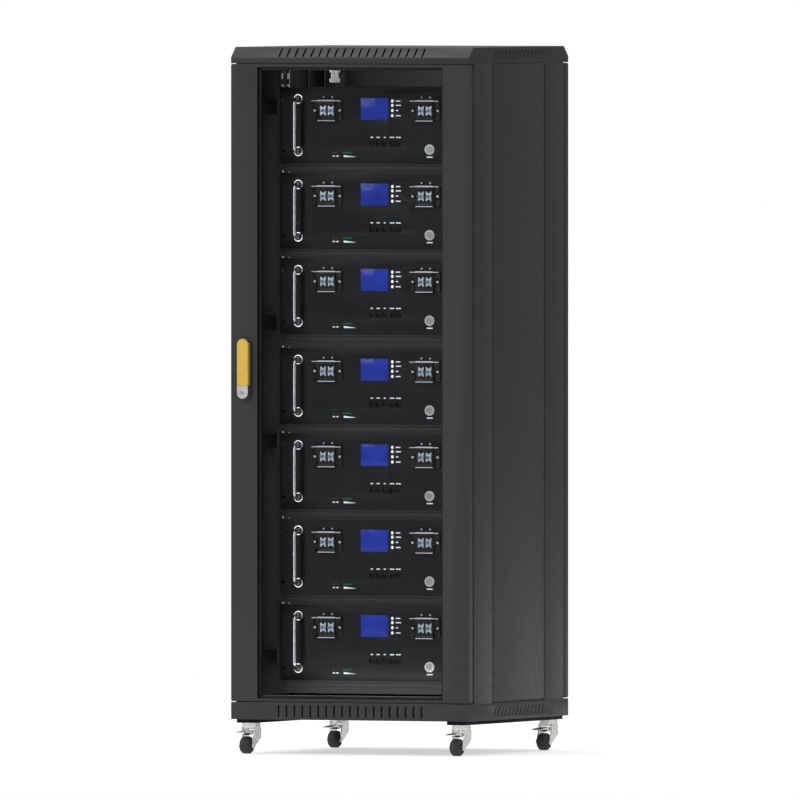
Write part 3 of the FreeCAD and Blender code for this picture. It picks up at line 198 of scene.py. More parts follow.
# ---------------------------------------------------------------- materials
class Recipe:
    """A material and short-hand for its nodes."""

    def __init__(self, name):
        self.material = bpy.data.materials.new(name)
        self.material.use_nodes = True
        self.tree = self.material.node_tree
        self.tree.nodes.clear()
        self.place = self.add("ShaderNodeTexCoord").outputs["Object"]

    def add(self, kind, inputs=None, **settings):
        """A node with its settings, and its inputs linked or set."""
        node = self.tree.nodes.new(kind)
        for key, value in settings.items():
            setattr(node, key, value)
        for key, value in (inputs or {}).items():
            if isinstance(value, bpy.types.NodeSocket):
                self.tree.links.new(value, node.inputs[key])
            else:
                node.inputs[key].default_value = value
        return node

    def noise(self, scale, detail=2.0, roughness=0.5, stretch=None):
        """Noise value over the surface; stretch draws it out along an axis."""
        place = self.place
        if stretch:
            place = self.add("ShaderNodeMapping", {"Vector": place, "Scale": stretch}).outputs["Vector"]
        inputs = {"Vector": place, "Scale": scale, "Detail": detail, "Roughness": roughness}
        return self.add("ShaderNodeTexNoise", inputs).outputs["Fac"]

    def span(self, value, low, high, start=0.3, end=0.7):
        """Maps a value that runs from start to end onto low to high."""
        inputs = {"Value": value, "From Min": start, "From Max": end, "To Min": low, "To Max": high}
        return self.add("ShaderNodeMapRange", inputs).outputs["Result"]

    def mix(self, factor, first, second, blend="MIX"):
        """Mix of two colours."""
        node = self.add("ShaderNodeMix", data_type="RGBA", blend_type=blend)
        for socket, value in ((node.inputs[0], factor), (node.inputs[6], first), (node.inputs[7], second)):
            if isinstance(value, bpy.types.NodeSocket):
                self.tree.links.new(value, socket)
            else:
                socket.default_value = value
        return node.outputs[2]

    def bump(self, height, distance, strength=1.0, below=None):
        """Normal bent by a height in metres."""
        inputs = {"Height": height, "Distance": distance, "Strength": strength}
        if below is not None:
            inputs["Normal"] = below
        return self.add("ShaderNodeBump", inputs).outputs["Normal"]

    def finish(self, shader):
        """Ends the recipe with its shader."""
        output = self.add("ShaderNodeOutputMaterial")
        self.tree.links.new(shader.outputs[0], output.inputs["Surface"])
        return self.material

    def surface(self, **inputs):
        """Ends the recipe with one principled shader; names use _ for spaces."""
        named = {key.replace("_", " "): value for key, value in inputs.items()}
        return self.finish(self.add("ShaderNodeBsdfPrincipled", named))


def rgba(colour, gain=1.0):
    """Colour with alpha, made lighter or darker by gain."""
    return tuple(min(1.0, part * gain) for part in colour) + (1.0,)


def shade(colour, gain):
    """Colour made lighter or darker by gain."""
    return tuple(part * gain for part in colour)


def powder_coat(name, colour, roughness):
    """Fine-textured powder coat with a speckle of lighter grains."""
    recipe = Recipe(name)
    patches = recipe.span(recipe.noise(5.0, 3.0), 0.0, 1.0)
    tone = recipe.mix(patches, rgba(colour, 0.93), rgba(colour, 1.07))
    speckle = recipe.noise(1400.0, 2.0, 0.6)
    tone = recipe.mix(recipe.span(speckle, 0.0, 0.22), tone, rgba(colour, 1.9))
    rough = recipe.span(recipe.noise(60.0, 3.0), roughness - 0.04, roughness + 0.05)
    normal = recipe.bump(recipe.noise(620.0, 3.0, 0.65), 0.00012, 0.45)
    return recipe.surface(Base_Color=tone, Roughness=rough, Normal=normal, Specular_IOR_Level=0.24)


def panel_paint(name, colour):
    """Satin module paint with a faint rolled grain and handling marks."""
    recipe = Recipe(name)
    patches = recipe.span(recipe.noise(14.0, 4.0), 0.0, 1.0)
    tone = recipe.mix(patches, rgba(colour, 0.85), rgba(colour, 1.15))
    smears = recipe.noise(30.0, 5.0, 0.7, (1.0, 1.0, 0.35))
    rough = recipe.span(smears, 0.4, 0.52)
    grain = recipe.noise(900.0, 3.0, 0.6, (1.0, 1.0, 0.6))
    return recipe.surface(Base_Color=tone, Roughness=rough, Normal=recipe.bump(grain, 0.0001, 0.4),
                          Specular_IOR_Level=0.35)


def plated_metal(name, colour, roughness, grain, depth=0.00005, spangle=0.12):
    """Plated metal with drifting tone, fine grain and soft smudges."""
    recipe = Recipe(name)
    inputs = {"Vector": recipe.place, "Scale": grain * 0.35}
    cells = recipe.add("ShaderNodeTexVoronoi", inputs).outputs["Distance"]
    tone = recipe.mix(recipe.span(cells, 0.0, spangle, 0.0, 1.0), rgba(colour), rgba(colour, 0.55))
    tone = recipe.mix(recipe.span(recipe.noise(40.0, 4.0), 0.0, 0.25), tone, rgba(colour, 0.7))
    rough = recipe.span(recipe.noise(120.0, 4.0), roughness * 0.75, roughness * 1.4)
    normal = recipe.bump(recipe.noise(grain * 4.0, 2.0), depth, 0.4)
    return recipe.surface(Base_Color=tone, Metallic=1.0, Roughness=rough, Normal=normal)


def brushed_metal(name, colour, roughness, stretch):
    """Brushed metal whose scratches run along the short way of stretch."""
    recipe = Recipe(name)
    lines = recipe.noise(900.0, 3.0, 0.6, stretch)
    tone = recipe.mix(recipe.span(lines, 0.0, 0.4), rgba(colour), rgba(colour, 0.6))
    rough = recipe.span(lines, roughness * 0.7, roughness * 1.3)
    return recipe.surface(Base_Color=tone, Metallic=1.0, Roughness=rough,
                          Normal=recipe.bump(lines, 0.00003, 0.35))


def moulded_plastic(name, colour, roughness=0.42, texture=800.0, depth=0.00008, spread=0.12, glow=0.0):
    """Moulded plastic with a spark-eroded texture; glow makes it emit light, which on the keys and printed
    marks is painted light.
    """
    recipe = Recipe(name)
    patches = recipe.span(recipe.noise(45.0, 3.0), 0.0, 1.0)
    tone = recipe.mix(patches, rgba(colour, 1.0 - spread), rgba(colour, 1.0 + spread))
    rough = recipe.span(recipe.noise(160.0, 3.0), roughness - 0.05, roughness + 0.06)
    normal = recipe.bump(recipe.noise(texture, 2.0, 0.7), depth, 0.45)
    return recipe.surface(Base_Color=tone, Roughness=rough, Normal=normal, Emission_Color=tone,
                          Emission_Strength=glow)


def enamel(name, colour):
    """Thick glossy enamel with orange peel."""
    recipe = Recipe(name)
    tone = recipe.mix(recipe.span(recipe.noise(70.0, 3.0), 0.0, 1.0), rgba(colour, 0.92), rgba(colour, 1.06))
    rough = recipe.span(recipe.noise(90.0, 3.0), 0.26, 0.36)
    normal = recipe.bump(recipe.noise(420.0), 0.0001, 0.3)
    return recipe.surface(Base_Color=tone, Roughness=rough, Normal=normal, Coat_Weight=0.3,
                          Coat_Roughness=0.12)


def tyre_rubber(name, colour):
    """Scuffed hard rubber."""
    recipe = Recipe(name)
    dust = recipe.span(recipe.noise(85.0, 5.0, 0.7), 0.0, 0.6)
    tone = recipe.mix(dust, rgba(colour), rgba(colour, 2.6))
    rough = recipe.span(recipe.noise(230.0, 3.0), 0.55, 0.78)
    normal = recipe.bump(recipe.noise(700.0, 3.0), 0.00015, 0.5)
    return recipe.surface(Base_Color=tone, Roughness=rough, Normal=normal)


def lit_screen(name, colour, strength):
    """Backlit screen: a dot grid behind clear plastic, with a cloudy tone."""
    recipe = Recipe(name)
    cloud = recipe.span(recipe.noise(26.0, 2.0), 0.0, 1.0)
    tone = recipe.mix(cloud, rgba(colour, 0.8), rgba(colour, 1.15))
    waves = []
    for direction in ("X", "Z"):
        settings = {"wave_type": "BANDS", "bands_direction": direction}
        inputs = {"Vector": recipe.place, "Scale": 320.0, "Distortion": 0.0}
        waves.append(recipe.add("ShaderNodeTexWave", inputs, **settings).outputs["Fac"])
    dots = recipe.add("ShaderNodeMath", {0: waves[0], 1: waves[1]}, operation="MULTIPLY").outputs[0]
    tone = recipe.mix(recipe.span(dots, 0.0, 0.12, 0.0, 1.0), tone, rgba(colour, 1.5))
    rough = recipe.span(recipe.noise(200.0), 0.12, 0.2)
    return recipe.surface(Base_Color=tone, Roughness=rough, Emission_Color=tone, Emission_Strength=strength,
                          Specular_IOR_Level=0.3)


def lamp_lens(name, colour, strength):
    """Small lit lamp with a frosted lens."""
    recipe = Recipe(name)
    tone = recipe.mix(recipe.span(recipe.noise(900.0), 0.0, 1.0), rgba(colour, 0.6), rgba(colour))
    return recipe.surface(Base_Color=tone, Roughness=0.25, Emission_Color=tone, Emission_Strength=strength,
                          Normal=recipe.bump(recipe.noise(1500.0), 0.00005, 0.5))


def tinted_pane(name, tint):
    """Grey-tinted toughened glass with a faint haze."""
    recipe = Recipe(name)
    haze = recipe.span(recipe.noise(22.0, 4.0), 0.02, 0.05)
    inputs = {"Base Color": rgba((0.01, 0.011, 0.012)), "Roughness": haze, "Specular IOR Level": 0.5}
    gloss = recipe.add("ShaderNodeBsdfPrincipled", inputs)
    clear = recipe.add("ShaderNodeBsdfTransparent", {"Color": rgba(tint)})
    share = recipe.add("ShaderNodeLayerWeight", {"Blend": 0.1}).outputs["Fresnel"]
    layers = {0: share, 1: clear.outputs[0], 2: gloss.outputs[0]}
    return recipe.finish(recipe.add("ShaderNodeMixShader", layers))


def printed_board(name):
    """Green solder mask over copper tracks."""
    recipe = Recipe(name)
    inputs = {"Vector": recipe.place, "Scale": 260.0}
    tracks = recipe.add("ShaderNodeTexVoronoi", inputs, distance="MANHATTAN").outputs["Distance"]
    lines = recipe.span(tracks, 0.0, 1.0, 0.28, 0.34)
    tone = recipe.mix(lines, rgba((0.012, 0.12, 0.045)), rgba((0.03, 0.21, 0.085)))
    return recipe.surface(Base_Color=tone, Roughness=recipe.span(recipe.noise(300.0), 0.25, 0.4),
                          Normal=recipe.bump(lines, 0.00005, 0.6))


def material_recipes():
    """How each finish is made."""
    cabinet = bpy.context.scene.rack_cabinet
    module = bpy.context.scene.rack_module
    return {
        "cabinet_paint": lambda n: powder_coat(n, cabinet.coat, cabinet.coat_roughness),
        "frame_paint": lambda n: powder_coat(n, cabinet.inner_coat, cabinet.coat_roughness - 0.05),
        "module_paint": lambda n: panel_paint(n, module.coat),
        # Lighter copies of the paints and of the lever's enamel, for the rounded edges: painted highlights.
        "cabinet_edge_highlight": lambda n: powder_coat(n, shade(cabinet.coat, 1.5), cabinet.coat_roughness),
        "frame_edge_highlight": lambda n: powder_coat(n, shade(cabinet.inner_coat, 2.0), cabinet.coat_roughness - 0.1),
        "module_edge_highlight": lambda n: panel_paint(n, shade(module.coat, 3.0)),
        "lever_edge_highlight": lambda n: enamel(n, (0.68, 0.52, 0.22)),
        # A much lighter copy of the inner coat: painted highlight on the shelf lips.
        "lip_highlight_paint": lambda n: powder_coat(n, shade(cabinet.inner_coat, 4.5), 0.42),
        # A lighter copy of the inner coat: painted light on the shelf fronts.
        "lit_front_paint": lambda n: powder_coat(n, shade(cabinet.inner_coat, 3.6), 0.5),
        # A lighter copy of the inner coat: painted light on the shelves and mounting rails.
        "lit_shelf_paint": lambda n: powder_coat(n, shade(cabinet.inner_coat, 2.4), 0.45),
        # A lighter copy of the inner coat: painted light on the air baffles and the sheets behind the gaps.
        "lit_baffle_paint": lambda n: powder_coat(n, shade(cabinet.inner_coat, 3.2), 0.5),
        "seam_shadow": lambda n: powder_coat(n, shade(cabinet.coat, 0.15), 0.6),
        # A much darker copy of the inner coat: painted shade on the caster channels and hinge pins.
        "shaded_channel_paint": lambda n: powder_coat(n, shade(cabinet.inner_coat, 0.12), 0.8),
        # A much lighter copy of the panel paint: painted highlight on the panels' top folds.
        "fold_highlight_paint": lambda n: panel_paint(n, shade(module.coat, 5.0)),
        "chrome_bar": lambda n: plated_metal(n, module.chrome, 0.2, 260.0, 0.00002, 0.05),
        "black_plastic": lambda n: moulded_plastic(n, (0.011, 0.011, 0.012)),
        "port_cavity": lambda n: moulded_plastic(n, (0.003, 0.0018, 0.0016), 0.75),
        "filter_foam": lambda n: moulded_plastic(n, (0.0016, 0.0016, 0.0017), 0.9, 420.0, 0.0006, 0.4),
        "gasket_rubber": lambda n: tyre_rubber(n, (0.012, 0.012, 0.0125)),
        "zinc_hardware": lambda n: plated_metal(n, cabinet.zinc, 0.3, 320.0),
        "bracket_cream": lambda n: enamel(n, (0.92, 0.89, 0.8)),
        "zinc_caster": lambda n: plated_metal(n, cabinet.zinc, 0.28, 240.0),
        "black_screw": lambda n: plated_metal(n, (0.06, 0.062, 0.065), 0.38, 420.0),
        "terminal_metal": lambda n: plated_metal(n, (0.82, 0.85, 0.88), 0.32, 520.0),
        "terminal_bolt_blue": lambda n: plated_metal(n, (0.16, 0.27, 0.42), 0.3, 520.0),
        # White enamel for the strips on the terminal ridges: painted highlight.
        "terminal_highlight_enamel": lambda n: enamel(n, (0.88, 0.89, 0.9)),
        "switch_metal": lambda n: brushed_metal(n, (0.96, 0.95, 0.92), 0.3, (1.0, 1.0, 0.1)),
        "button_metal": lambda n: brushed_metal(n, (0.7, 0.69, 0.67), 0.24, (1.0, 1.0, 0.1)),
        "lock_metal": lambda n: plated_metal(n, (0.62, 0.62, 0.61), 0.3, 380.0, 0.00004, 0.1),
        "display": lambda n: lit_screen(n, module.screen, module.screen_strength),
        # Glowing keys: painted light.
        "key_plastic": lambda n: moulded_plastic(n, module.key, 0.35, 1200.0, 0.00005, 0.05, module.painted_key_glow),
        # Glowing printed marks: painted light.
        "printed_ink": lambda n: moulded_plastic(n, module.key, 0.6, 2200.0, 0.00006, 0.1,
                                                 0.5 * module.painted_key_glow),
        "lamp_green": lambda n: lamp_lens(n, (0.01, 0.32, 0.06), 0.55),
        "lamp_red": lambda n: lamp_lens(n, (0.36, 0.015, 0.012), 0.45),
        "cell_can": lambda n: moulded_plastic(n, module.cell_film, 0.3, 300.0, 0.0001),
        "copper_bar": lambda n: brushed_metal(n, (0.78, 0.36, 0.2), 0.3, (1.0, 0.1, 1.0)),
        "contact_gold": lambda n: plated_metal(n, (0.3, 0.18, 0.09), 0.35, 900.0),
        "circuit_board": printed_board,
        "lever_paint": lambda n: enamel(n, cabinet.lever),
        "tinted_glass": lambda n: tinted_pane(n, cabinet.glass_tint),
        "wheel_rubber": lambda n: tyre_rubber(n, cabinet.tyre),
        "studio_floor": lambda n: moulded_plastic(n, (0.45, 0.45, 0.45), 0.7, 60.0, 0.0002, 0.01, 1.25),
    }


def finish_of(name):
    """The rack's own material of that name, made once."""
    label = "rack_" + name
    return bpy.data.materials.get(label) or material_recipes()[name](label)


# Lighter finish of the rounded edges, where it isn't the same as the faces': a painted highlight.
EDGE_HIGHLIGHTS = {"cabinet_paint": "cabinet_edge_highlight", "frame_paint": "frame_edge_highlight", "module_paint": "module_edge_highlight",
                 "lever_paint": "lever_edge_highlight"}


# ---------------------------------------------------------------- shapes
def add_box(bm, low, high):
    """Box between two corners, in metres."""
    low, high = Vector(low), Vector(high)
    size = Matrix.Diagonal(high - low).to_4x4()
    bmesh.ops.create_cube(bm, size=1.0, matrix=Matrix.Translation((low + high) / 2) @ size)


def span_of(side, near, far):
    """Lower and upper x of a strip from near to far, on the side -1 or 1."""
    return sorted((side * near, side * far))


def add_lathe(bm, profile, centre, axis, steps=48):
    """Turned shape: profile holds (radius, distance along axis) from one end to the other."""
    turn = Vector((0, 0, 1)).rotation_difference(Vector(axis)).to_matrix()
    centre = Vector(centre)
    rings = []
    for radius, along in profile:
        if radius < 1e-6:
            rings.append([bm.verts.new(centre + turn @ Vector((0, 0, along)))])
            continue
        ring = []
        for step in range(steps):
            angle = math.tau * step / steps
            place = Vector((radius * math.cos(angle), radius * math.sin(angle), along))
            ring.append(bm.verts.new(centre + turn @ place))
        rings.append(ring)
    for first, second in zip(rings, rings[1:]):
        for step in range(steps):
            after = (step + 1) % steps
            corners = [first[step % len(first)], first[after % len(first)], second[after % len(second)],
                       second[step % len(second)]]
            corners = list(dict.fromkeys(corners))
            if len(corners) > 2:
                bm.faces.new(corners)


def add_prism(bm, outline, y0, y1):
    """Outline of (x, z) points drawn from y0 to y1."""
    front = [bm.verts.new((x, y0, z)) for x, z in outline]
    back = [bm.verts.new((x, y1, z)) for x, z in outline]
    bm.faces.new(front)
    bm.faces.new(list(reversed(back)))
    for index in range(len(outline)):
        after = (index + 1) % len(outline)
        bm.faces.new([front[index], back[index], back[after], front[after]])


def add_screw(bm, centre, radius, height, slot=0.3):
    """Pan-head screw that faces -Y, with a round recess."""
    profile = [(0.0, height * 0.62), (radius * slot, height * 0.62), (radius * (slot + 0.08), height * 0.95),
               (radius * 0.7, height), (radius * 0.93, height * 0.6), (radius, 0.0)]
    add_lathe(bm, profile, centre, FORWARD, 24)


def add_pad(bm, centre, half_width, half_height, front, back, steps=28):
    """Soft rectangular pad that faces -Y: centre is (x, z), front and back are planes."""
    depth = back - front
    rings = []
    for share, reach in ((1.0, 0.0), (1.0, 0.55), (0.95, 0.85), (0.82, 0.97), (0.55, 1.0)):
        ring = []
        for step in range(steps):
            angle = math.tau * (step + 0.5) / steps
            across = math.copysign(abs(math.cos(angle)) ** 0.85, math.cos(angle))
            up = math.copysign(abs(math.sin(angle)) ** 0.85, math.sin(angle))
            x, z = centre[0] + share * half_width * across, centre[1] + share * half_height * up
            ring.append(bm.verts.new((x, back - reach * depth, z)))
        rings.append(ring)
    bm.faces.new(rings[0])
    bm.faces.new(list(reversed(rings[-1])))
    for first, second in zip(rings, rings[1:]):
        for step in range(steps):
            after = (step + 1) % steps
            bm.faces.new([first[step], second[step], second[after], first[after]])


def round_edges(bm, width, segments, least_angle=38.0):
    """Rounds the long outer edges that turn by more than least_angle, in the mesh's second finish; on painted
    parts that finish is a lighter copy: a painted highlight.
    """
    sharp = [e for e in bm.edges if e.is_manifold and e.calc_face_angle(0.0) > math.radians(least_angle)]
    short = {v for e in sharp if e.calc_length() < 2.2 * width for v in e.verts}
    chosen = [e for e in sharp if e.calc_face_angle_signed(0.0) > 0 and e.calc_length() > 5 * width
              and not short.intersection(e.verts)]
    if chosen:
        bmesh.ops.bevel(bm, geom=chosen, offset=width, offset_type="OFFSET", segments=segments, profile=0.5,
                        affect="EDGES", clamp_overlap=False, material=1)


def make_piece(name, bm, finish, body, rounding=0.0, segments=2, smooth=32.0):
    """Turns a built shape into a piece that rides on a body."""
    bmesh.ops.recalc_face_normals(bm, faces=bm.faces)
    if rounding:
        round_edges(bm, rounding, segments)
    mesh = bpy.data.meshes.new(name)
    bm.to_mesh(mesh)
    bm.free()
    mesh.shade_smooth()
    mesh.set_sharp_from_angle(angle=math.radians(smooth))
    mesh.materials.append(finish_of(finish))
    if rounding:
        # The rounded edges take the edge finish, a lighter copy of the paint on painted parts: a painted
        # highlight.
        mesh.materials.append(finish_of(EDGE_HIGHLIGHTS.get(finish, finish)))
    piece = bpy.data.objects.new(name, mesh)
    bpy.context.scene.collection.objects.link(piece)
    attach(piece, body)
    return piece


def body_of(node):
    """Body that a CAD node belongs to."""
    return frame["nodes"][node]["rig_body"]


def slot_of(node):
    """Material slot that the record gives a CAD node."""
    for part in frame["record"]["subparts"]:
        if part["node"] == node:
            return part["material_slot"]
    raise ValueError(f"no slot for {node}")


def dress(node, finish=None):
    """Gives a CAD node its finish."""
    mesh = frame["nodes"][node].data
    material = finish_of(finish or slot_of(node))
    if not mesh.materials:
        mesh.materials.append(material)
    for index in range(len(mesh.materials)):
        mesh.materials[index] = material


def refine(node, width, segments=2, finish=None):
    """A CAD node's shape again with its edges rounded, which stands for the node."""
    bm = bmesh.new()
    bm.from_mesh(frame["nodes"][node].data)
    bmesh.ops.remove_doubles(bm, verts=bm.verts, dist=1e-6)
    bmesh.ops.dissolve_limit(bm, angle_limit=math.radians(0.3), verts=bm.verts, edges=bm.edges)
    dress(node, finish)
    slot = slot_of(node)
    piece = make_piece(node + "_finished", bm, finish or slot, body_of(node), width, segments)
    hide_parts(node)
    return piece


def middle(node):
    """Middle of a CAD node's box."""
    low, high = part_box(node)
    return (low + high) / 2


def key_places(node):
    """Centre (x, z), half width, half height and front plane of each key of a keypad."""
    bm = bmesh.new()
    bm.from_mesh(frame["nodes"][node].data)
    bmesh.ops.remove_doubles(bm, verts=bm.verts, dist=1e-6)
    places, left = [], set(bm.verts)
    while left:
        group, edge = set(), [left.pop()]
        while edge:
            vert = edge.pop()
            group.add(vert)
            fresh = {e.other_vert(vert) for e in vert.link_edges} & left
            left -= fresh
            edge.extend(fresh)
        xs, ys, zs = ([v.co[axis] for v in group] for axis in range(3))
        centre = ((min(xs) + max(xs)) / 2, (min(zs) + max(zs)) / 2)
        places.append((centre, (max(xs) - min(xs)) / 2, (max(zs) - min(zs)) / 2, min(ys)))
    bm.free()
    return sorted(places)


def module_levels():
    """Height of each module's lower edge."""
    return [middle(f"power_button_{k}").z - BUTTON_CENTRE_Z * MM for k in MODULES]


def panel_face():
    """Plane of the modules' front panels."""
    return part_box("front_panels")[0].y


def marks(name, places, finish="printed_ink"):
    """Printed bars on every module: places holds (left x, low z, width, height) in millimetres."""
    settings = bpy.context.scene.rack_module
    face = panel_face()
    bm = bmesh.new()
    for level in module_levels():
        for x, z, width, height in places:
            low = (x * MM, face - settings.ink_height, level + z * MM)
            add_box(bm, low, ((x + width) * MM, face, level + (z + height) * MM))
    return make_piece(name, bm, finish, "cabinet")


# ---------------------------------------------------------------- operators
class RackOperator(bpy.types.Operator):
    """Shared settings of the rack's operators."""

    bl_options = {"REGISTER", "UNDO"}


class RACK_OT_cabinet_shell(RackOperator):
    """Painted body of the cabinet: plinth, posts, rails, roof and side panels with their seams"""

    bl_idname = "rack.cabinet_shell"
    bl_label = "Cabinet Shell"

    def execute(self, context):
        radius = context.scene.rack_cabinet.fold_radius
        for node in ("roof_cover", "base_frame", "side_panel_left", "side_panel_right", "corner_posts",
                     "cross_rails"):
            refine(node, radius)
        # The caster channels take a much darker copy of the inner coat: painted shade.
        refine("caster_channels", radius, finish="shaded_channel_paint")
        bm = bmesh.new()
        seam, offset, sunk, proud = 2.5 * MM, 1.5 * MM, 0.6 * MM, 0.2 * MM
        for node, side in (("side_panel_left", -1), ("side_panel_right", 1)):
            low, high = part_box(node)
            face = high.x if side > 0 else low.x
            x0, x1 = sorted((face - side * sunk, face + side * proud))
            for y in (low.y - offset, high.y + offset):
                add_box(bm, (x0, y - seam, low.z), (x1, y + seam, high.z))
            add_box(bm, (x0, low.y, low.z - 0.5 * MM), (x1, high.y, low.z + 2.0 * MM))
        make_piece("panel_seams", bm, "seam_shadow", "cabinet")
        return {"FINISHED"}


class RACK_OT_vent_filters(RackOperator):
    """Dust filter mats behind the vents of the roof and the plinth"""

    bl_idname = "rack.vent_filters"
    bl_label = "Vent Filters"

    def execute(self, context):
        settings = context.scene.rack_cabinet
        thick, gap = settings.filter_thickness, 3.0 * MM
        mats = (("roof_filter", "roof_cover", 29.0 * MM), ("plinth_filter", "base_frame", 2.0 * MM))
        for name, node, inset in mats:
            low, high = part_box(node)
            bottom, top = low.z + gap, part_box("roof_cover")[1].z - gap
            if node == "base_frame":
                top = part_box("corner_posts")[0].z - gap
            left, right = low.x + inset + gap, high.x - inset - gap
            front, back = low.y + inset + gap, high.y - inset - gap
            bm = bmesh.new()
            add_box(bm, (left, front, bottom), (right, front + thick, top))
            add_box(bm, (left, back - thick, bottom), (right, back, top))
            add_box(bm, (left, front + thick, bottom), (left + thick, back - thick, top))
            add_box(bm, (right - thick, front + thick, bottom), (right, back - thick, top))
            bmesh.ops.subdivide_edges(bm, edges=bm.edges, cuts=5, use_grid_fill=True)
            make_piece(name, bm, "filter_foam", "cabinet")
        return {"FINISHED"}


class RACK_OT_doors(RackOperator):
    """Front door with its glass and gasket, rear door, hinge pins, and the seals of both doors"""

    bl_idname = "rack.doors"
    bl_label = "Doors"

    def execute(self, context):
        settings = context.scene.rack_cabinet
        refine("front_door_frame", settings.fold_radius)
        refine("rear_door", settings.fold_radius)
        dress("front_door_glass")
        # The hinge pins take the same darker copy: painted shade.
        dress("hinge_pins", "shaded_channel_paint")
        low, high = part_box("front_door_glass")
        inner = high.y
        outer = inner + settings.gasket_depth
        width = settings.gasket_width
        bm = bmesh.new()
        add_box(bm, (low.x, inner, low.z), (low.x + width, outer, high.z))
        add_box(bm, (high.x - width, inner, low.z), (high.x, outer, high.z))
        add_box(bm, (low.x + width, inner, low.z), (high.x - width, outer, low.z + width))
        add_box(bm, (low.x + width, inner, high.z - width), (high.x - width, outer, high.z))
        make_piece("glass_gasket", bm, "gasket_rubber", "front_door", 1.2 * MM, 3)
        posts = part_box("corner_posts")
        play, end = 0.6 * MM, 6 * MM
        bm = bmesh.new()
        for y0, y1, hinge_side in ((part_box("front_door_frame")[1].y + play, posts[0].y, 1),
                                   (posts[1].y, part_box("rear_door")[0].y - play, -1)):
            for side, near, far in ((hinge_side, 264 * MM, 276 * MM), (-hinge_side, 291 * MM, 299 * MM)):
                x0, x1 = span_of(side, near, far)
                add_box(bm, (x0, y0, posts[0].z + end), (x1, y1, posts[1].z - end))
        make_piece("post_seals", bm, "gasket_rubber", "cabinet", 1.0 * MM)
        inset = 1 * MM
        for node, body in (("front_door_frame", "front_door"), ("rear_door", "rear_door")):
            low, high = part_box(node)
            bm = bmesh.new()
            for bottom, top in ((high.z, high.z + 2.4 * MM), (low.z - 2.0 * MM, low.z)):
                add_box(bm, (low.x + inset, low.y + inset, bottom), (high.x - inset, high.y - inset, top))
            make_piece(f"{body}_seals", bm, "gasket_rubber", body, 0.3 * MM)
        return {"FINISHED"}


class RACK_OT_locks(RackOperator):
    """Lever lock on the front door and cam lock on the rear door"""

    bl_idname = "rack.locks"
    bl_label = "Locks"

    def execute(self, context):
        refine("lock_housing", 0.6 * MM, 3)
        # The lever's rounded rim takes a lighter enamel: a painted highlight.
        refine("lock_lever", 1.1 * MM, 4)
        refine("lock_cylinder", 0.9 * MM, 3)
        dress("lock_spindle")
        dress("rear_lock")
        low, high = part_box("rear_lock")
        centre = (low + high) / 2
        door_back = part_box("rear_door")[1].y
        head = high.z - centre.z
        bm = bmesh.new()
        add_lathe(bm, [(head + 0.2 * MM, 0.0), (head + 0.3 * MM, 1.4 * MM), (head + 1.2 * MM, 1.9 * MM),
                       (head + 2.6 * MM, 1.3 * MM), (head + 3.0 * MM, 0.0)],
                  (REAR_LOCK_X * MM, door_back, centre.z), BACKWARD, 64)
        make_piece("rear_lock_ring", bm, "black_plastic", "rear_door")
        return {"FINISHED"}


class RACK_OT_rack_frame(RackOperator):
    """Mounting rails, brackets, shelves, screws, cage nuts, air baffles and the strips between modules, with
    painted light on the inner parts and painted shade in the gaps
    """

    bl_idname = "rack.rack_frame"
    bl_label = "Rack Frame"

    def execute(self, context):
        radius = context.scene.rack_cabinet.fold_radius * 0.6
        # The shelves here and the mounting rails below take a lighter copy of the inner coat: painted light.
        refine("module_shelves", radius, finish="lit_shelf_paint")
        refine("rail_brackets", radius)
        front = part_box("mounting_rails")
        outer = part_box("corner_posts")[1].x - 3.0 * MM
        arms = self.bracket_levels()
        arm_low, arm_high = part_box("rail_brackets")
        bottoms = [front[0].z] + [top + 1.0 * MM for _, top in arms]
        tops = [bottom - 1.0 * MM for bottom, _ in arms] + [front[1].z]
        bm = bmesh.new()
        inner = front[1].x + 0.2 * MM
        for side in (-1, 1):
            x0, x1 = span_of(side, inner, outer)
            for bottom, top in zip(bottoms, tops):
                add_box(bm, (x0, front[0].y + 2.0 * MM, bottom), (x1, front[0].y + 3.2 * MM, top))
            x0, x1 = span_of(side, inner, arm_high.x)
            for bottom, top in arms:
                add_box(bm, (x0, arm_low.y - 1.0 * MM, bottom), (x1, arm_low.y, top))
        # The baffles take a lighter copy of the inner coat: painted light.
        make_piece("air_baffles", bm, "lit_baffle_paint", "cabinet")
        face = panel_face()
        half = front[1].x - 25.7 * MM
        lips, bands, shade_sheets = bmesh.new(), bmesh.new(), bmesh.new()
        below = front[0].z + 2.0 * MM
        lip_back = face + 2.6 * MM
        for level in sorted(module_levels()):
            foot = level - SHELF_DROP * MM
            # Dim sheet behind each gap between modules: painted shade seen through the gap.
            add_box(shade_sheets, (-half, face + 3.0 * MM, below), (half, face + 3.8 * MM, foot))
            below = level + PANEL_HEIGHT * MM
            # Light strip on each shelf lip: painted highlight.
            add_box(lips, (-half, face - 0.4 * MM, level - 3.6 * MM), (half, lip_back, level - 0.6 * MM))
            # Shelf front under it, lighter than the inner coat: painted light.
            add_box(bands, (-half, face + 1.4 * MM, foot), (half, lip_back, level - 5.0 * MM))
        make_piece("gap_shade_sheets", shade_sheets, "lit_baffle_paint", "cabinet")
        make_piece("lit_shelf_lips", lips, "lip_highlight_paint", "cabinet", 0.3 * MM)
        make_piece("lit_shelf_fronts", bands, "lit_front_paint", "cabinet", 0.3 * MM)
        dress("mounting_rails", "lit_shelf_paint")
        dress("rack_screws")
        dress("cage_nuts")
        return {"FINISHED"}

    @staticmethod
    def bracket_levels():
        """Lower and upper height of each row of rail brackets."""
        arms = []
        for level in sorted({round(v.co.z, 4) for v in frame["nodes"]["rail_brackets"].data.vertices}):
            if arms and level - arms[-1][0] < 0.1:
                arms[-1][1] = level
            else:
                arms.append([level, level])
        return arms


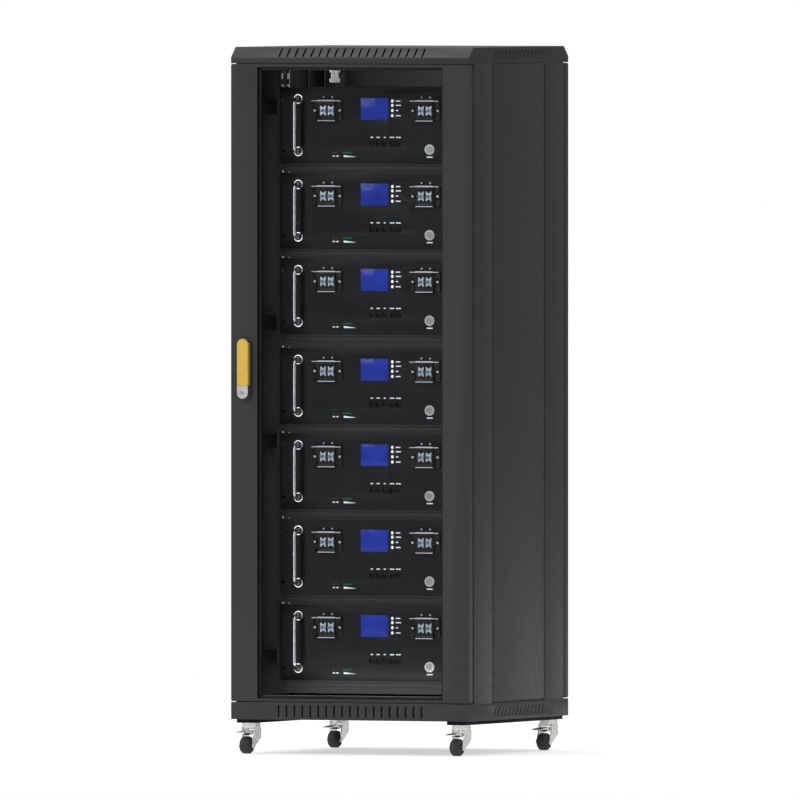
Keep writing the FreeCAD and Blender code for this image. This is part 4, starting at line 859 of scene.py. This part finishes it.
class RACK_OT_zinc_fittings(RackOperator):
    """Small screws beside each module, and the free unit's end angles and cable brackets"""

    bl_idname = "rack.zinc_fittings"
    bl_label = "Zinc Fittings"

    def execute(self, context):
        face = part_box("mounting_rails")[0].y
        bm = bmesh.new()
        for level in module_levels():
            for side in (-1, 1):
                add_screw(bm, (side * 234.6 * MM, face, level + 179.5 * MM), 2.3 * MM, 1.2 * MM)
                place = (side * 219.5 * MM, face + 1.5 * MM, level + 178.6 * MM)
                add_screw(bm, place, 1.9 * MM, 1.6 * MM)
        make_piece("shelf_screws", bm, "bracket_cream", "cabinet")

        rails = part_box("mounting_rails")
        edge = rails[1].x - 25.5 * MM
        top = rails[1].z
        angles, tabs, slots = bmesh.new(), bmesh.new(), bmesh.new()
        for side in (-1, 1):
            x0, x1 = span_of(side, edge, edge - 6.0 * MM)
            add_box(angles, (x0, face, top - 42 * MM), (x1, face + 1.5 * MM, top + 2 * MM))
            x0, x1 = span_of(side, edge - 6.0 * MM, edge - 7.2 * MM)
            add_box(tabs, (x0, face - 0.8 * MM, top - 41 * MM), (x1, face + 1.5 * MM, top + 1 * MM))
            for middle_x in (edge + 11.6 * MM, edge - 3.4 * MM):
                x0, x1 = span_of(side, middle_x - 2.0 * MM, middle_x + 2.0 * MM)
                add_box(slots, (x0, face - 0.5 * MM, top - 21.5 * MM), (x1, face, top - 8.5 * MM))
                add_screw(slots, (side * middle_x, face, top - 36.5 * MM), 2.4 * MM, 1.2 * MM)
        make_piece("end_angles", angles, "frame_paint", "cabinet")
        make_piece("end_angle_tabs", tabs, "bracket_cream", "cabinet", 0.2 * MM)
        make_piece("end_angle_slots", slots, "bracket_cream", "cabinet")

        bm = bmesh.new()
        rear = rails[1].y - 60.0 * MM
        for side in (-1, 1):
            x0, x1 = span_of(side, edge, edge - 2.0 * MM)
            for start in (-29.0, 3.5):
                y0 = rear + start * MM
                y1 = y0 + 25.5 * MM
                waist0, waist1 = (y0 + 9 * MM, y1) if start < 0 else (y0, y1 - 9 * MM)
                add_box(bm, (x0, y0, top - 9 * MM), (x1, y1, top - 0.5 * MM))
                add_box(bm, (x0, waist0, top - 23 * MM), (x1, waist1, top - 9 * MM))
                add_box(bm, (x0, y0, top - 32 * MM), (x1, y1, top - 23 * MM))
            add_box(bm, (x0, rear - 3.5 * MM, top - 18 * MM), (x1, rear + 3.5 * MM, top - 14 * MM))
        make_piece("cable_brackets", bm, "bracket_cream", "cabinet")
        return {"FINISHED"}


class RACK_OT_module_shells(RackOperator):
    """Cases, lids and front panels of the modules, with a painted highlight along each panel's top fold, and
    the case joints
    """

    bl_idname = "rack.module_shells"
    bl_label = "Module Shells"

    def execute(self, context):
        for node in ("front_panels", "module_cases", "module_lids"):
            refine(node, 0.35 * MM)
        face = panel_face()
        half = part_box("module_cases")[1].x
        bm = bmesh.new()
        for level in module_levels():
            # Light strip on each panel's top fold: painted highlight.
            add_box(bm, (-half, face - 0.5 * MM, level + 175.2 * MM), (half, face, level + 176.8 * MM))
        make_piece("fold_highlights", bm, "fold_highlight_paint", "cabinet", 0.2 * MM)
        bm = bmesh.new()
        for level in module_levels():
            for side in (-1, 1):
                x = side * half
                low = (x - 0.5 * MM, face - 0.15 * MM, level + 1 * MM)
                add_box(bm, low, (x + 0.5 * MM, face, level + 175 * MM))
        make_piece("panel_joints", bm, "port_cavity", "cabinet")
        return {"FINISHED"}


class RACK_OT_module_handles(RackOperator):
    """Chromed pull handles with a washer round each foot"""

    bl_idname = "rack.module_handles"
    bl_label = "Module Handles"

    def execute(self, context):
        dress("module_handles")
        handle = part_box("module_handles")[1].x - 11.0 * MM
        foot = panel_face() - 3.0 * MM
        bore, rim, thick = 5.2 * MM, 8.8 * MM, 0.35 * MM
        washer = [(bore, 0.0), (bore, thick), (rim, thick), (rim, 0.0)]
        bm = bmesh.new()
        for level in module_levels():
            for side in (-1, 1):
                for height in HANDLE_FOOT_Z:
                    add_lathe(bm, washer, (side * handle, foot, level + height * MM), FORWARD, 32)
        make_piece("handle_washers", bm, "port_cavity", "cabinet")
        return {"FINISHED"}


class RACK_OT_module_terminals(RackOperator):
    """Terminal blocks with their bolts, notched caps, ears and screws, white strips that paint the highlights
    on the ridges, and status pins
    """

    bl_idname = "rack.module_terminals"
    bl_label = "Module Terminals"

    def execute(self, context):
        refine("terminal_housings", 0.5 * MM, 2)
        dress("terminal_bolts")
        face = panel_face()
        low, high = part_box("terminal_housings")
        front = low.y
        flange = face - 3.0 * MM
        ear = flange - 1.2 * MM
        wide, narrow = 36.5 * MM, 21.5 * MM
        ridge_front, ridge_back = front - 0.3 * MM, front + 2.0 * MM
        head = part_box("terminal_bolts")[0].y
        cap = [(0.0, 2.6 * MM), (3.6 * MM, 2.6 * MM), (4.4 * MM, 2.2 * MM), (4.4 * MM, 0.0)]
        cap_notches = ((-7.0, 0.0, 3.4), (7.0, 0.0, 3.4), (0.0, 11.0, 3.6), (0.0, -11.0, 3.6))
        wide_highlights, lines, ovals, screws, pins, caps, notches = (bmesh.new() for _ in range(7))
        for level in module_levels():
            for centre in TERMINAL_CENTRES:
                z = level + TERMINAL_Z * MM
                x = centre * MM
                top, bottom = z + TERMINAL_HALF_HEIGHT * MM, z - TERMINAL_HALF_HEIGHT * MM
                # White strip across the top of the flange: painted highlight.
                add_box(wide_highlights, (x - wide, front - 0.25 * MM, top - 1.8 * MM), (x + wide, front, top))
                for low_z, high_z in ((top, top + 1.2 * MM), (bottom - 1.0 * MM, bottom + 0.8 * MM)):
                    # White strips on the ridge's top and bottom edges: painted highlights.
                    add_box(lines, (x - narrow, ridge_front, low_z), (x + narrow, ridge_back, high_z))
                for side in (-1, 1):
                    place = x + side * 29.5 * MM
                    outline = []
                    for step in range(24):
                        angle = math.tau * step / 24
                        outline.append((place + 5.5 * MM * math.cos(angle), z + 8.5 * MM * math.sin(angle)))
                    add_prism(ovals, outline, ear, flange)
                    add_screw(screws, (x + side * 31.5 * MM, ear, z), 2.9 * MM, 1.5 * MM)
                    add_screw(pins, (x + side * 10.7 * MM, face, z + 31.0 * MM), 2.2 * MM, 1.0 * MM)
                    pole = x + side * POLE_OFFSET * MM
                    add_lathe(caps, cap, (pole, head + 1.9 * MM, z), FORWARD, 32)
                    for across, up, radius in cap_notches:
                        add_lathe(notches, [(0.0, 0.4 * MM), (radius * MM, 0.4 * MM), (radius * MM, 0.0)],
                                  (pole + across * MM, head + 5.4 * MM, z + up * MM), FORWARD, 20)
        make_piece("terminal_highlight_strips", wide_highlights, "terminal_highlight_enamel", "cabinet")
        make_piece("ridge_highlight_strips", lines, "terminal_highlight_enamel", "cabinet")
        make_piece("terminal_ears", ovals, "port_cavity", "cabinet", 0.4 * MM)
        make_piece("terminal_ear_screws", screws, "bracket_cream", "cabinet")
        make_piece("terminal_pins", pins, "bracket_cream", "cabinet")
        make_piece("terminal_notches", notches, "port_cavity", "cabinet")
        make_piece("terminal_bolt_caps", caps, "terminal_bolt_blue", "cabinet")
        return {"FINISHED"}


class RACK_OT_module_screens(RackOperator):
    """Lit screens with a thin bezel"""

    bl_idname = "rack.module_screens"
    bl_label = "Module Screens"

    def execute(self, context):
        refine("display_windows", 0.2 * MM)
        low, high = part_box("display_windows")
        face = panel_face()
        rim = 0.8 * MM
        bm = bmesh.new()
        for level in module_levels():
            bottom = level + SCREEN_Z * MM
            top = bottom + SCREEN_HEIGHT * MM
            for left, right, foot, head in ((low.x - rim, low.x, bottom - rim, top + rim),
                                            (high.x, high.x + rim, bottom - rim, top + rim),
                                            (low.x, high.x, bottom - rim, bottom),
                                            (low.x, high.x, top, top + rim)):
                add_box(bm, (left, face - 0.3 * MM, foot), (right, face, head))
        make_piece("screen_bezels", bm, "black_plastic", "cabinet", 0.1 * MM)
        return {"FINISHED"}


class RACK_OT_module_keys(RackOperator):
    """Keys beside each screen and their printed marks"""

    bl_idname = "rack.module_keys"
    bl_label = "Module Keys"

    def execute(self, context):
        height = context.scene.rack_module.mark_height / MM
        back = panel_face()
        share = 0.84
        for k in MODULES:
            node = f"keypad_{k}"
            bm = bmesh.new()
            for centre, half_width, half_height, front in key_places(node):
                add_pad(bm, centre, share * half_width, share * half_height, front, back)
            pads = make_piece(f"{node}_pads", bm, "key_plastic", body_of(node), smooth=60.0)
            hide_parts(node)
        marks("key_marks", [(KEY_LABEL_X, z - height / 2, width, height) for z, width in KEY_LABELS])
        return {"FINISHED"}


class RACK_OT_module_ports(RackOperator):
    """Data ports with gold contacts and printed marks"""

    bl_idname = "rack.module_ports"
    bl_label = "Module Ports"

    def execute(self, context):
        height = context.scene.rack_module.mark_height / MM
        refine("port_housings", 0.25 * MM, finish="port_cavity")
        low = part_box("port_housings")[0]
        front, back = low.y + 2.6 * MM, low.y + 3.6 * MM
        bm = bmesh.new()
        for level in module_levels():
            bottom, top = level + 50.4 * MM, level + 51.4 * MM
            for x, _ in PORT_LABELS:
                for pin in range(8):
                    left = (x - 3.6 + pin * 0.95) * MM
                    add_box(bm, (left, front, bottom), (left + 0.4 * MM, back, top))
        make_piece("port_contacts", bm, "contact_gold", "cabinet")
        low_z = PORT_LABEL_Z - height / 2
        marks("port_marks", [(x - width / 2, low_z, width, height) for x, width in PORT_LABELS])
        return {"FINISHED"}


class RACK_OT_module_power(RackOperator):
    """Power buttons, bezels, status lamps and the charge wedge"""

    bl_idname = "rack.module_power"
    bl_label = "Module Power Controls"

    def execute(self, context):
        settings = context.scene.rack_module
        height = settings.mark_height / MM
        face = panel_face()
        dress("switch_bezels")
        for k in MODULES:
            refine(f"power_button_{k}", 0.5 * MM, finish="button_metal")
        places = [(x - width / 2, LAMP_LABEL_Z - height / 2, width, height) for x, width in LAMP_LABELS]
        places.append((137.0 - 7.5, 16.0 - height / 2, 15.0, height))
        marks("lamp_marks", places)
        radius = settings.lamp_radius
        dome = [(radius, 0.0), (radius, 0.3 * MM), (radius * 0.8, 0.8 * MM), (radius * 0.4, 1.1 * MM),
                (0.0, 1.2 * MM)]
        lamps = {"lamp_green": bmesh.new(), "lamp_red": bmesh.new()}
        wedge = bmesh.new()
        for level in module_levels():
            for x, finish in STATUS_LAMPS + tuple((x, "lamp_green") for x in CHARGE_LAMPS):
                add_lathe(lamps[finish], dome, (x * MM, face, level + LAMP_Z * MM), FORWARD, 16)
            low, high = level + 15.0 * MM, level + 20.0 * MM
            left, right = -80 * MM, -50 * MM
            outline = [(left, low), (right, low + 0.6 * MM), (right, low + 1.0 * MM), (left, high)]
            add_prism(wedge, outline, face - settings.ink_height, face)
        for finish, bm in lamps.items():
            make_piece(finish + "s", bm, finish, "cabinet")
        make_piece("charge_wedge", wedge, "printed_ink", "cabinet")
        return {"FINISHED"}


class RACK_OT_battery_core(RackOperator):
    """Cells, busbars and boards inside the modules"""

    bl_idname = "rack.battery_core"
    bl_label = "Battery Core"

    def execute(self, context):
        for node in ("battery_cells", "cell_busbars", "bms_boards"):
            dress(node)
        return {"FINISHED"}


class RACK_OT_casters(RackOperator):
    """Casters with turned wheels, forks, races and brake pedals"""

    bl_idname = "rack.casters"
    bl_label = "Casters"

    def execute(self, context):
        dress("caster_stems")
        for corner in CORNERS:
            dress(f"caster_fork_{corner}")
            refine(f"caster_pedal_{corner}", 0.8 * MM, 3)
            node = f"caster_wheel_{corner}"
            low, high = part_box(node)
            radius, half = (high.z - low.z) / 2, (high.x - low.x) / 2
            side = [(3.1 * MM, 0.0), (3.1 * MM, half - 0.2 * MM), (6.0 * MM, half),
                    (6.6 * MM, half - 1.6 * MM), (11.0 * MM, half - 2.2 * MM),
                    (12.2 * MM, half - 0.3 * MM), (radius - 5.4 * MM, half),
                    (radius - 4.2 * MM, half - 0.5 * MM), (radius - 0.6 * MM, half - 4.2 * MM),
                    (radius, half - 5.4 * MM)]
            profile = [(r, -x) for r, x in side] + [(r, x) for r, x in reversed(side)]
            bm = bmesh.new()
            add_lathe(bm, profile, middle(node), (1, 0, 0), 96)
            wheel = make_piece(f"turned_wheel_{corner}", bm, "wheel_rubber", body_of(node),
                               smooth=40.0)
            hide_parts(node)
        return {"FINISHED"}


def add_lamp(name, power, size, location, rotation):
    """Area light: size holds one side, or the two sides of a strip."""
    lamp = bpy.data.lights.new(name, "AREA")
    if len(size) == 2:
        lamp.shape = "RECTANGLE"
        lamp.size_y = size[1]
    lamp.size = size[0]
    lamp.energy = power
    light = bpy.data.objects.new(name, lamp)
    light.location = location
    light.rotation_euler = rotation
    bpy.context.scene.collection.objects.link(light)


class RACK_OT_studio(RackOperator):
    """Pale floor, soft light and camera"""

    bl_idname = "rack.studio"
    bl_label = "Studio"

    def execute(self, context):
        scene = context.scene
        settings = scene.rack_studio
        bm = bmesh.new()
        bmesh.ops.create_grid(bm, x_segments=8, y_segments=8, size=settings.floor_size)
        mesh = bpy.data.meshes.new("studio_floor")
        bm.to_mesh(mesh)
        bm.free()
        mesh.materials.append(finish_of("studio_floor"))
        floor = bpy.data.objects.new("studio_floor", mesh)
        floor.location = (0.0, 0.0, -0.0002)
        scene.collection.objects.link(floor)

        scene.view_settings.view_transform = "Standard"
        world = bpy.data.worlds.new("studio_sky")
        scene.world = world
        world.use_nodes = True
        tree = world.node_tree
        tree.nodes.clear()
        place = tree.nodes.new("ShaderNodeTexCoord")
        parts = tree.nodes.new("ShaderNodeSeparateXYZ")
        tree.links.new(place.outputs["Generated"], parts.inputs[0])
        height = tree.nodes.new("ShaderNodeMapRange")
        tree.links.new(parts.outputs["Z"], height.inputs["Value"])
        for key, value in (("From Min", -0.1), ("From Max", 1.0), ("To Min", 0.5 * settings.light),
                           ("To Max", 1.5 * settings.light)):
            height.inputs[key].default_value = value
        side = tree.nodes.new("ShaderNodeVectorMath")
        side.operation = "DOT_PRODUCT"
        tree.links.new(place.outputs["Generated"], side.inputs[0])
        side.inputs[1].default_value = (math.sin(settings.azimuth), math.cos(settings.azimuth), 0.0)
        dim = tree.nodes.new("ShaderNodeMapRange")
        tree.links.new(side.outputs["Value"], dim.inputs["Value"])
        for key, value in (("From Min", 0.3), ("From Max", 1.0), ("To Min", 1.0), ("To Max", 0.38)):
            dim.inputs[key].default_value = value
        level = tree.nodes.new("ShaderNodeMath")
        level.operation = "MULTIPLY"
        tree.links.new(height.outputs["Result"], level.inputs[0])
        tree.links.new(dim.outputs["Result"], level.inputs[1])
        soft = tree.nodes.new("ShaderNodeBackground")
        tree.links.new(level.outputs[0], soft.inputs["Strength"])
        white = tree.nodes.new("ShaderNodeBackground")
        soft.inputs["Color"].default_value = white.inputs["Color"].default_value = (1.0, 1.0, 1.0, 1.0)
        path = tree.nodes.new("ShaderNodeLightPath")
        mixer = tree.nodes.new("ShaderNodeMixShader")
        output = tree.nodes.new("ShaderNodeOutputWorld")
        tree.links.new(path.outputs["Is Camera Ray"], mixer.inputs[0])
        tree.links.new(soft.outputs[0], mixer.inputs[1])
        tree.links.new(white.outputs[0], mixer.inputs[2])
        tree.links.new(mixer.outputs[0], output.inputs["Surface"])

        for name, place, aim, size, power in (("key_light", (-2.6, -3.4, 2.8), (0, 0, 0.9), 2.2, 57.0),
                                              ("roof_light", (0.0, 0.5, 4.2), (0, 0.1, 1.2), 2.4, 35.0)):
            turn = (Vector(aim) - Vector(place)).to_track_quat("-Z", "Y").to_euler()
            add_lamp(name, power, (size,), place, turn)

        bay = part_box("front_door_frame")[1].y + 0.006
        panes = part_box("front_door_glass")
        for side in (-1, 1):
            place = (side * 0.238, bay, (panes[0].z + panes[1].z) / 2)
            add_lamp("bay_light", settings.bay_light, (0.03, panes[1].z - panes[0].z), place,
                     (math.radians(90), 0, side * math.radians(25)))

        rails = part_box("cross_rails")
        strip = (0.44, 0.012)
        add_lamp("head_light", settings.head_light, strip, (0, panel_face() + 0.02, rails[1].z - 0.008),
                 (math.radians(90), 0, 0))
        add_lamp("foot_light", settings.foot_light, strip, (0, bay, rails[0].z + 0.035),
                 (math.radians(50), 0, 0))

        low, high = Vector(CAD_BOX[0]), Vector(CAD_BOX[1])
        door_middle = (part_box("front_door_frame")[0].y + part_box("rear_door")[1].y) / 2
        aim = Vector(((low.x + high.x) / 2, door_middle, settings.aim_height))
        turn, rise = settings.azimuth, settings.elevation
        back = Vector((math.sin(turn) * math.cos(rise), -math.cos(turn) * math.cos(rise), math.sin(rise)))
        lens = bpy.data.cameras.new("studio_camera")
        lens.sensor_width = 36.0
        lens.lens = lens.sensor_width * settings.distance / settings.view_width
        lens.clip_end = 2 * settings.distance
        camera = bpy.data.objects.new("studio_camera", lens)
        camera.location = aim + back * settings.distance
        camera.rotation_euler = (-back).to_track_quat("-Z", "Y").to_euler()
        scene.collection.objects.link(camera)
        scene.camera = camera
        return {"FINISHED"}


OPERATORS = (
    RACK_OT_cabinet_shell,
    RACK_OT_vent_filters,
    RACK_OT_doors,
    RACK_OT_locks,
    RACK_OT_rack_frame,
    RACK_OT_zinc_fittings,
    RACK_OT_module_shells,
    RACK_OT_module_handles,
    RACK_OT_module_terminals,
    RACK_OT_module_screens,
    RACK_OT_module_keys,
    RACK_OT_module_ports,
    RACK_OT_module_power,
    RACK_OT_battery_core,
    RACK_OT_casters,
    RACK_OT_studio,
)


class RACK_PT_sidebar(bpy.types.Panel):
    """Settings and build steps of the rack cabinet"""

    bl_idname = "RACK_PT_sidebar"
    bl_label = "Battery Rack"
    bl_space_type = "VIEW_3D"
    bl_region_type = "UI"
    bl_category = "Battery Rack"

    def draw(self, context):
        for group in (context.scene.rack_cabinet, context.scene.rack_module, context.scene.rack_studio):
            box = self.layout.box()
            for key in group.__annotations__:
                box.prop(group, key)
        column = self.layout.column()
        for operator in OPERATORS:
            column.operator(operator.bl_idname)


SETTINGS = {"rack_cabinet": CabinetFinish, "rack_module": ModuleFinish, "rack_studio": StudioSettings}


def register():
    for group in SETTINGS.values():
        bpy.utils.register_class(group)
    for name, group in SETTINGS.items():
        setattr(bpy.types.Scene, name, PointerProperty(type=group))
    for operator in OPERATORS:
        bpy.utils.register_class(operator)
    bpy.utils.register_class(RACK_PT_sidebar)


def unregister():
    bpy.utils.unregister_class(RACK_PT_sidebar)
    for operator in reversed(OPERATORS):
        bpy.utils.unregister_class(operator)
    for name in SETTINGS:
        delattr(bpy.types.Scene, name)
    for group in SETTINGS.values():
        bpy.utils.unregister_class(group)


def main():
    """Builds every piece in order."""
    register()
    for operator in OPERATORS:
        group, name = operator.bl_idname.split(".")
        result = getattr(getattr(bpy.ops, group), name)()
        if result != {"FINISHED"}:
            raise RuntimeError(f"{operator.bl_label} didn't finish")


if __name__ == "__main__":
    main()
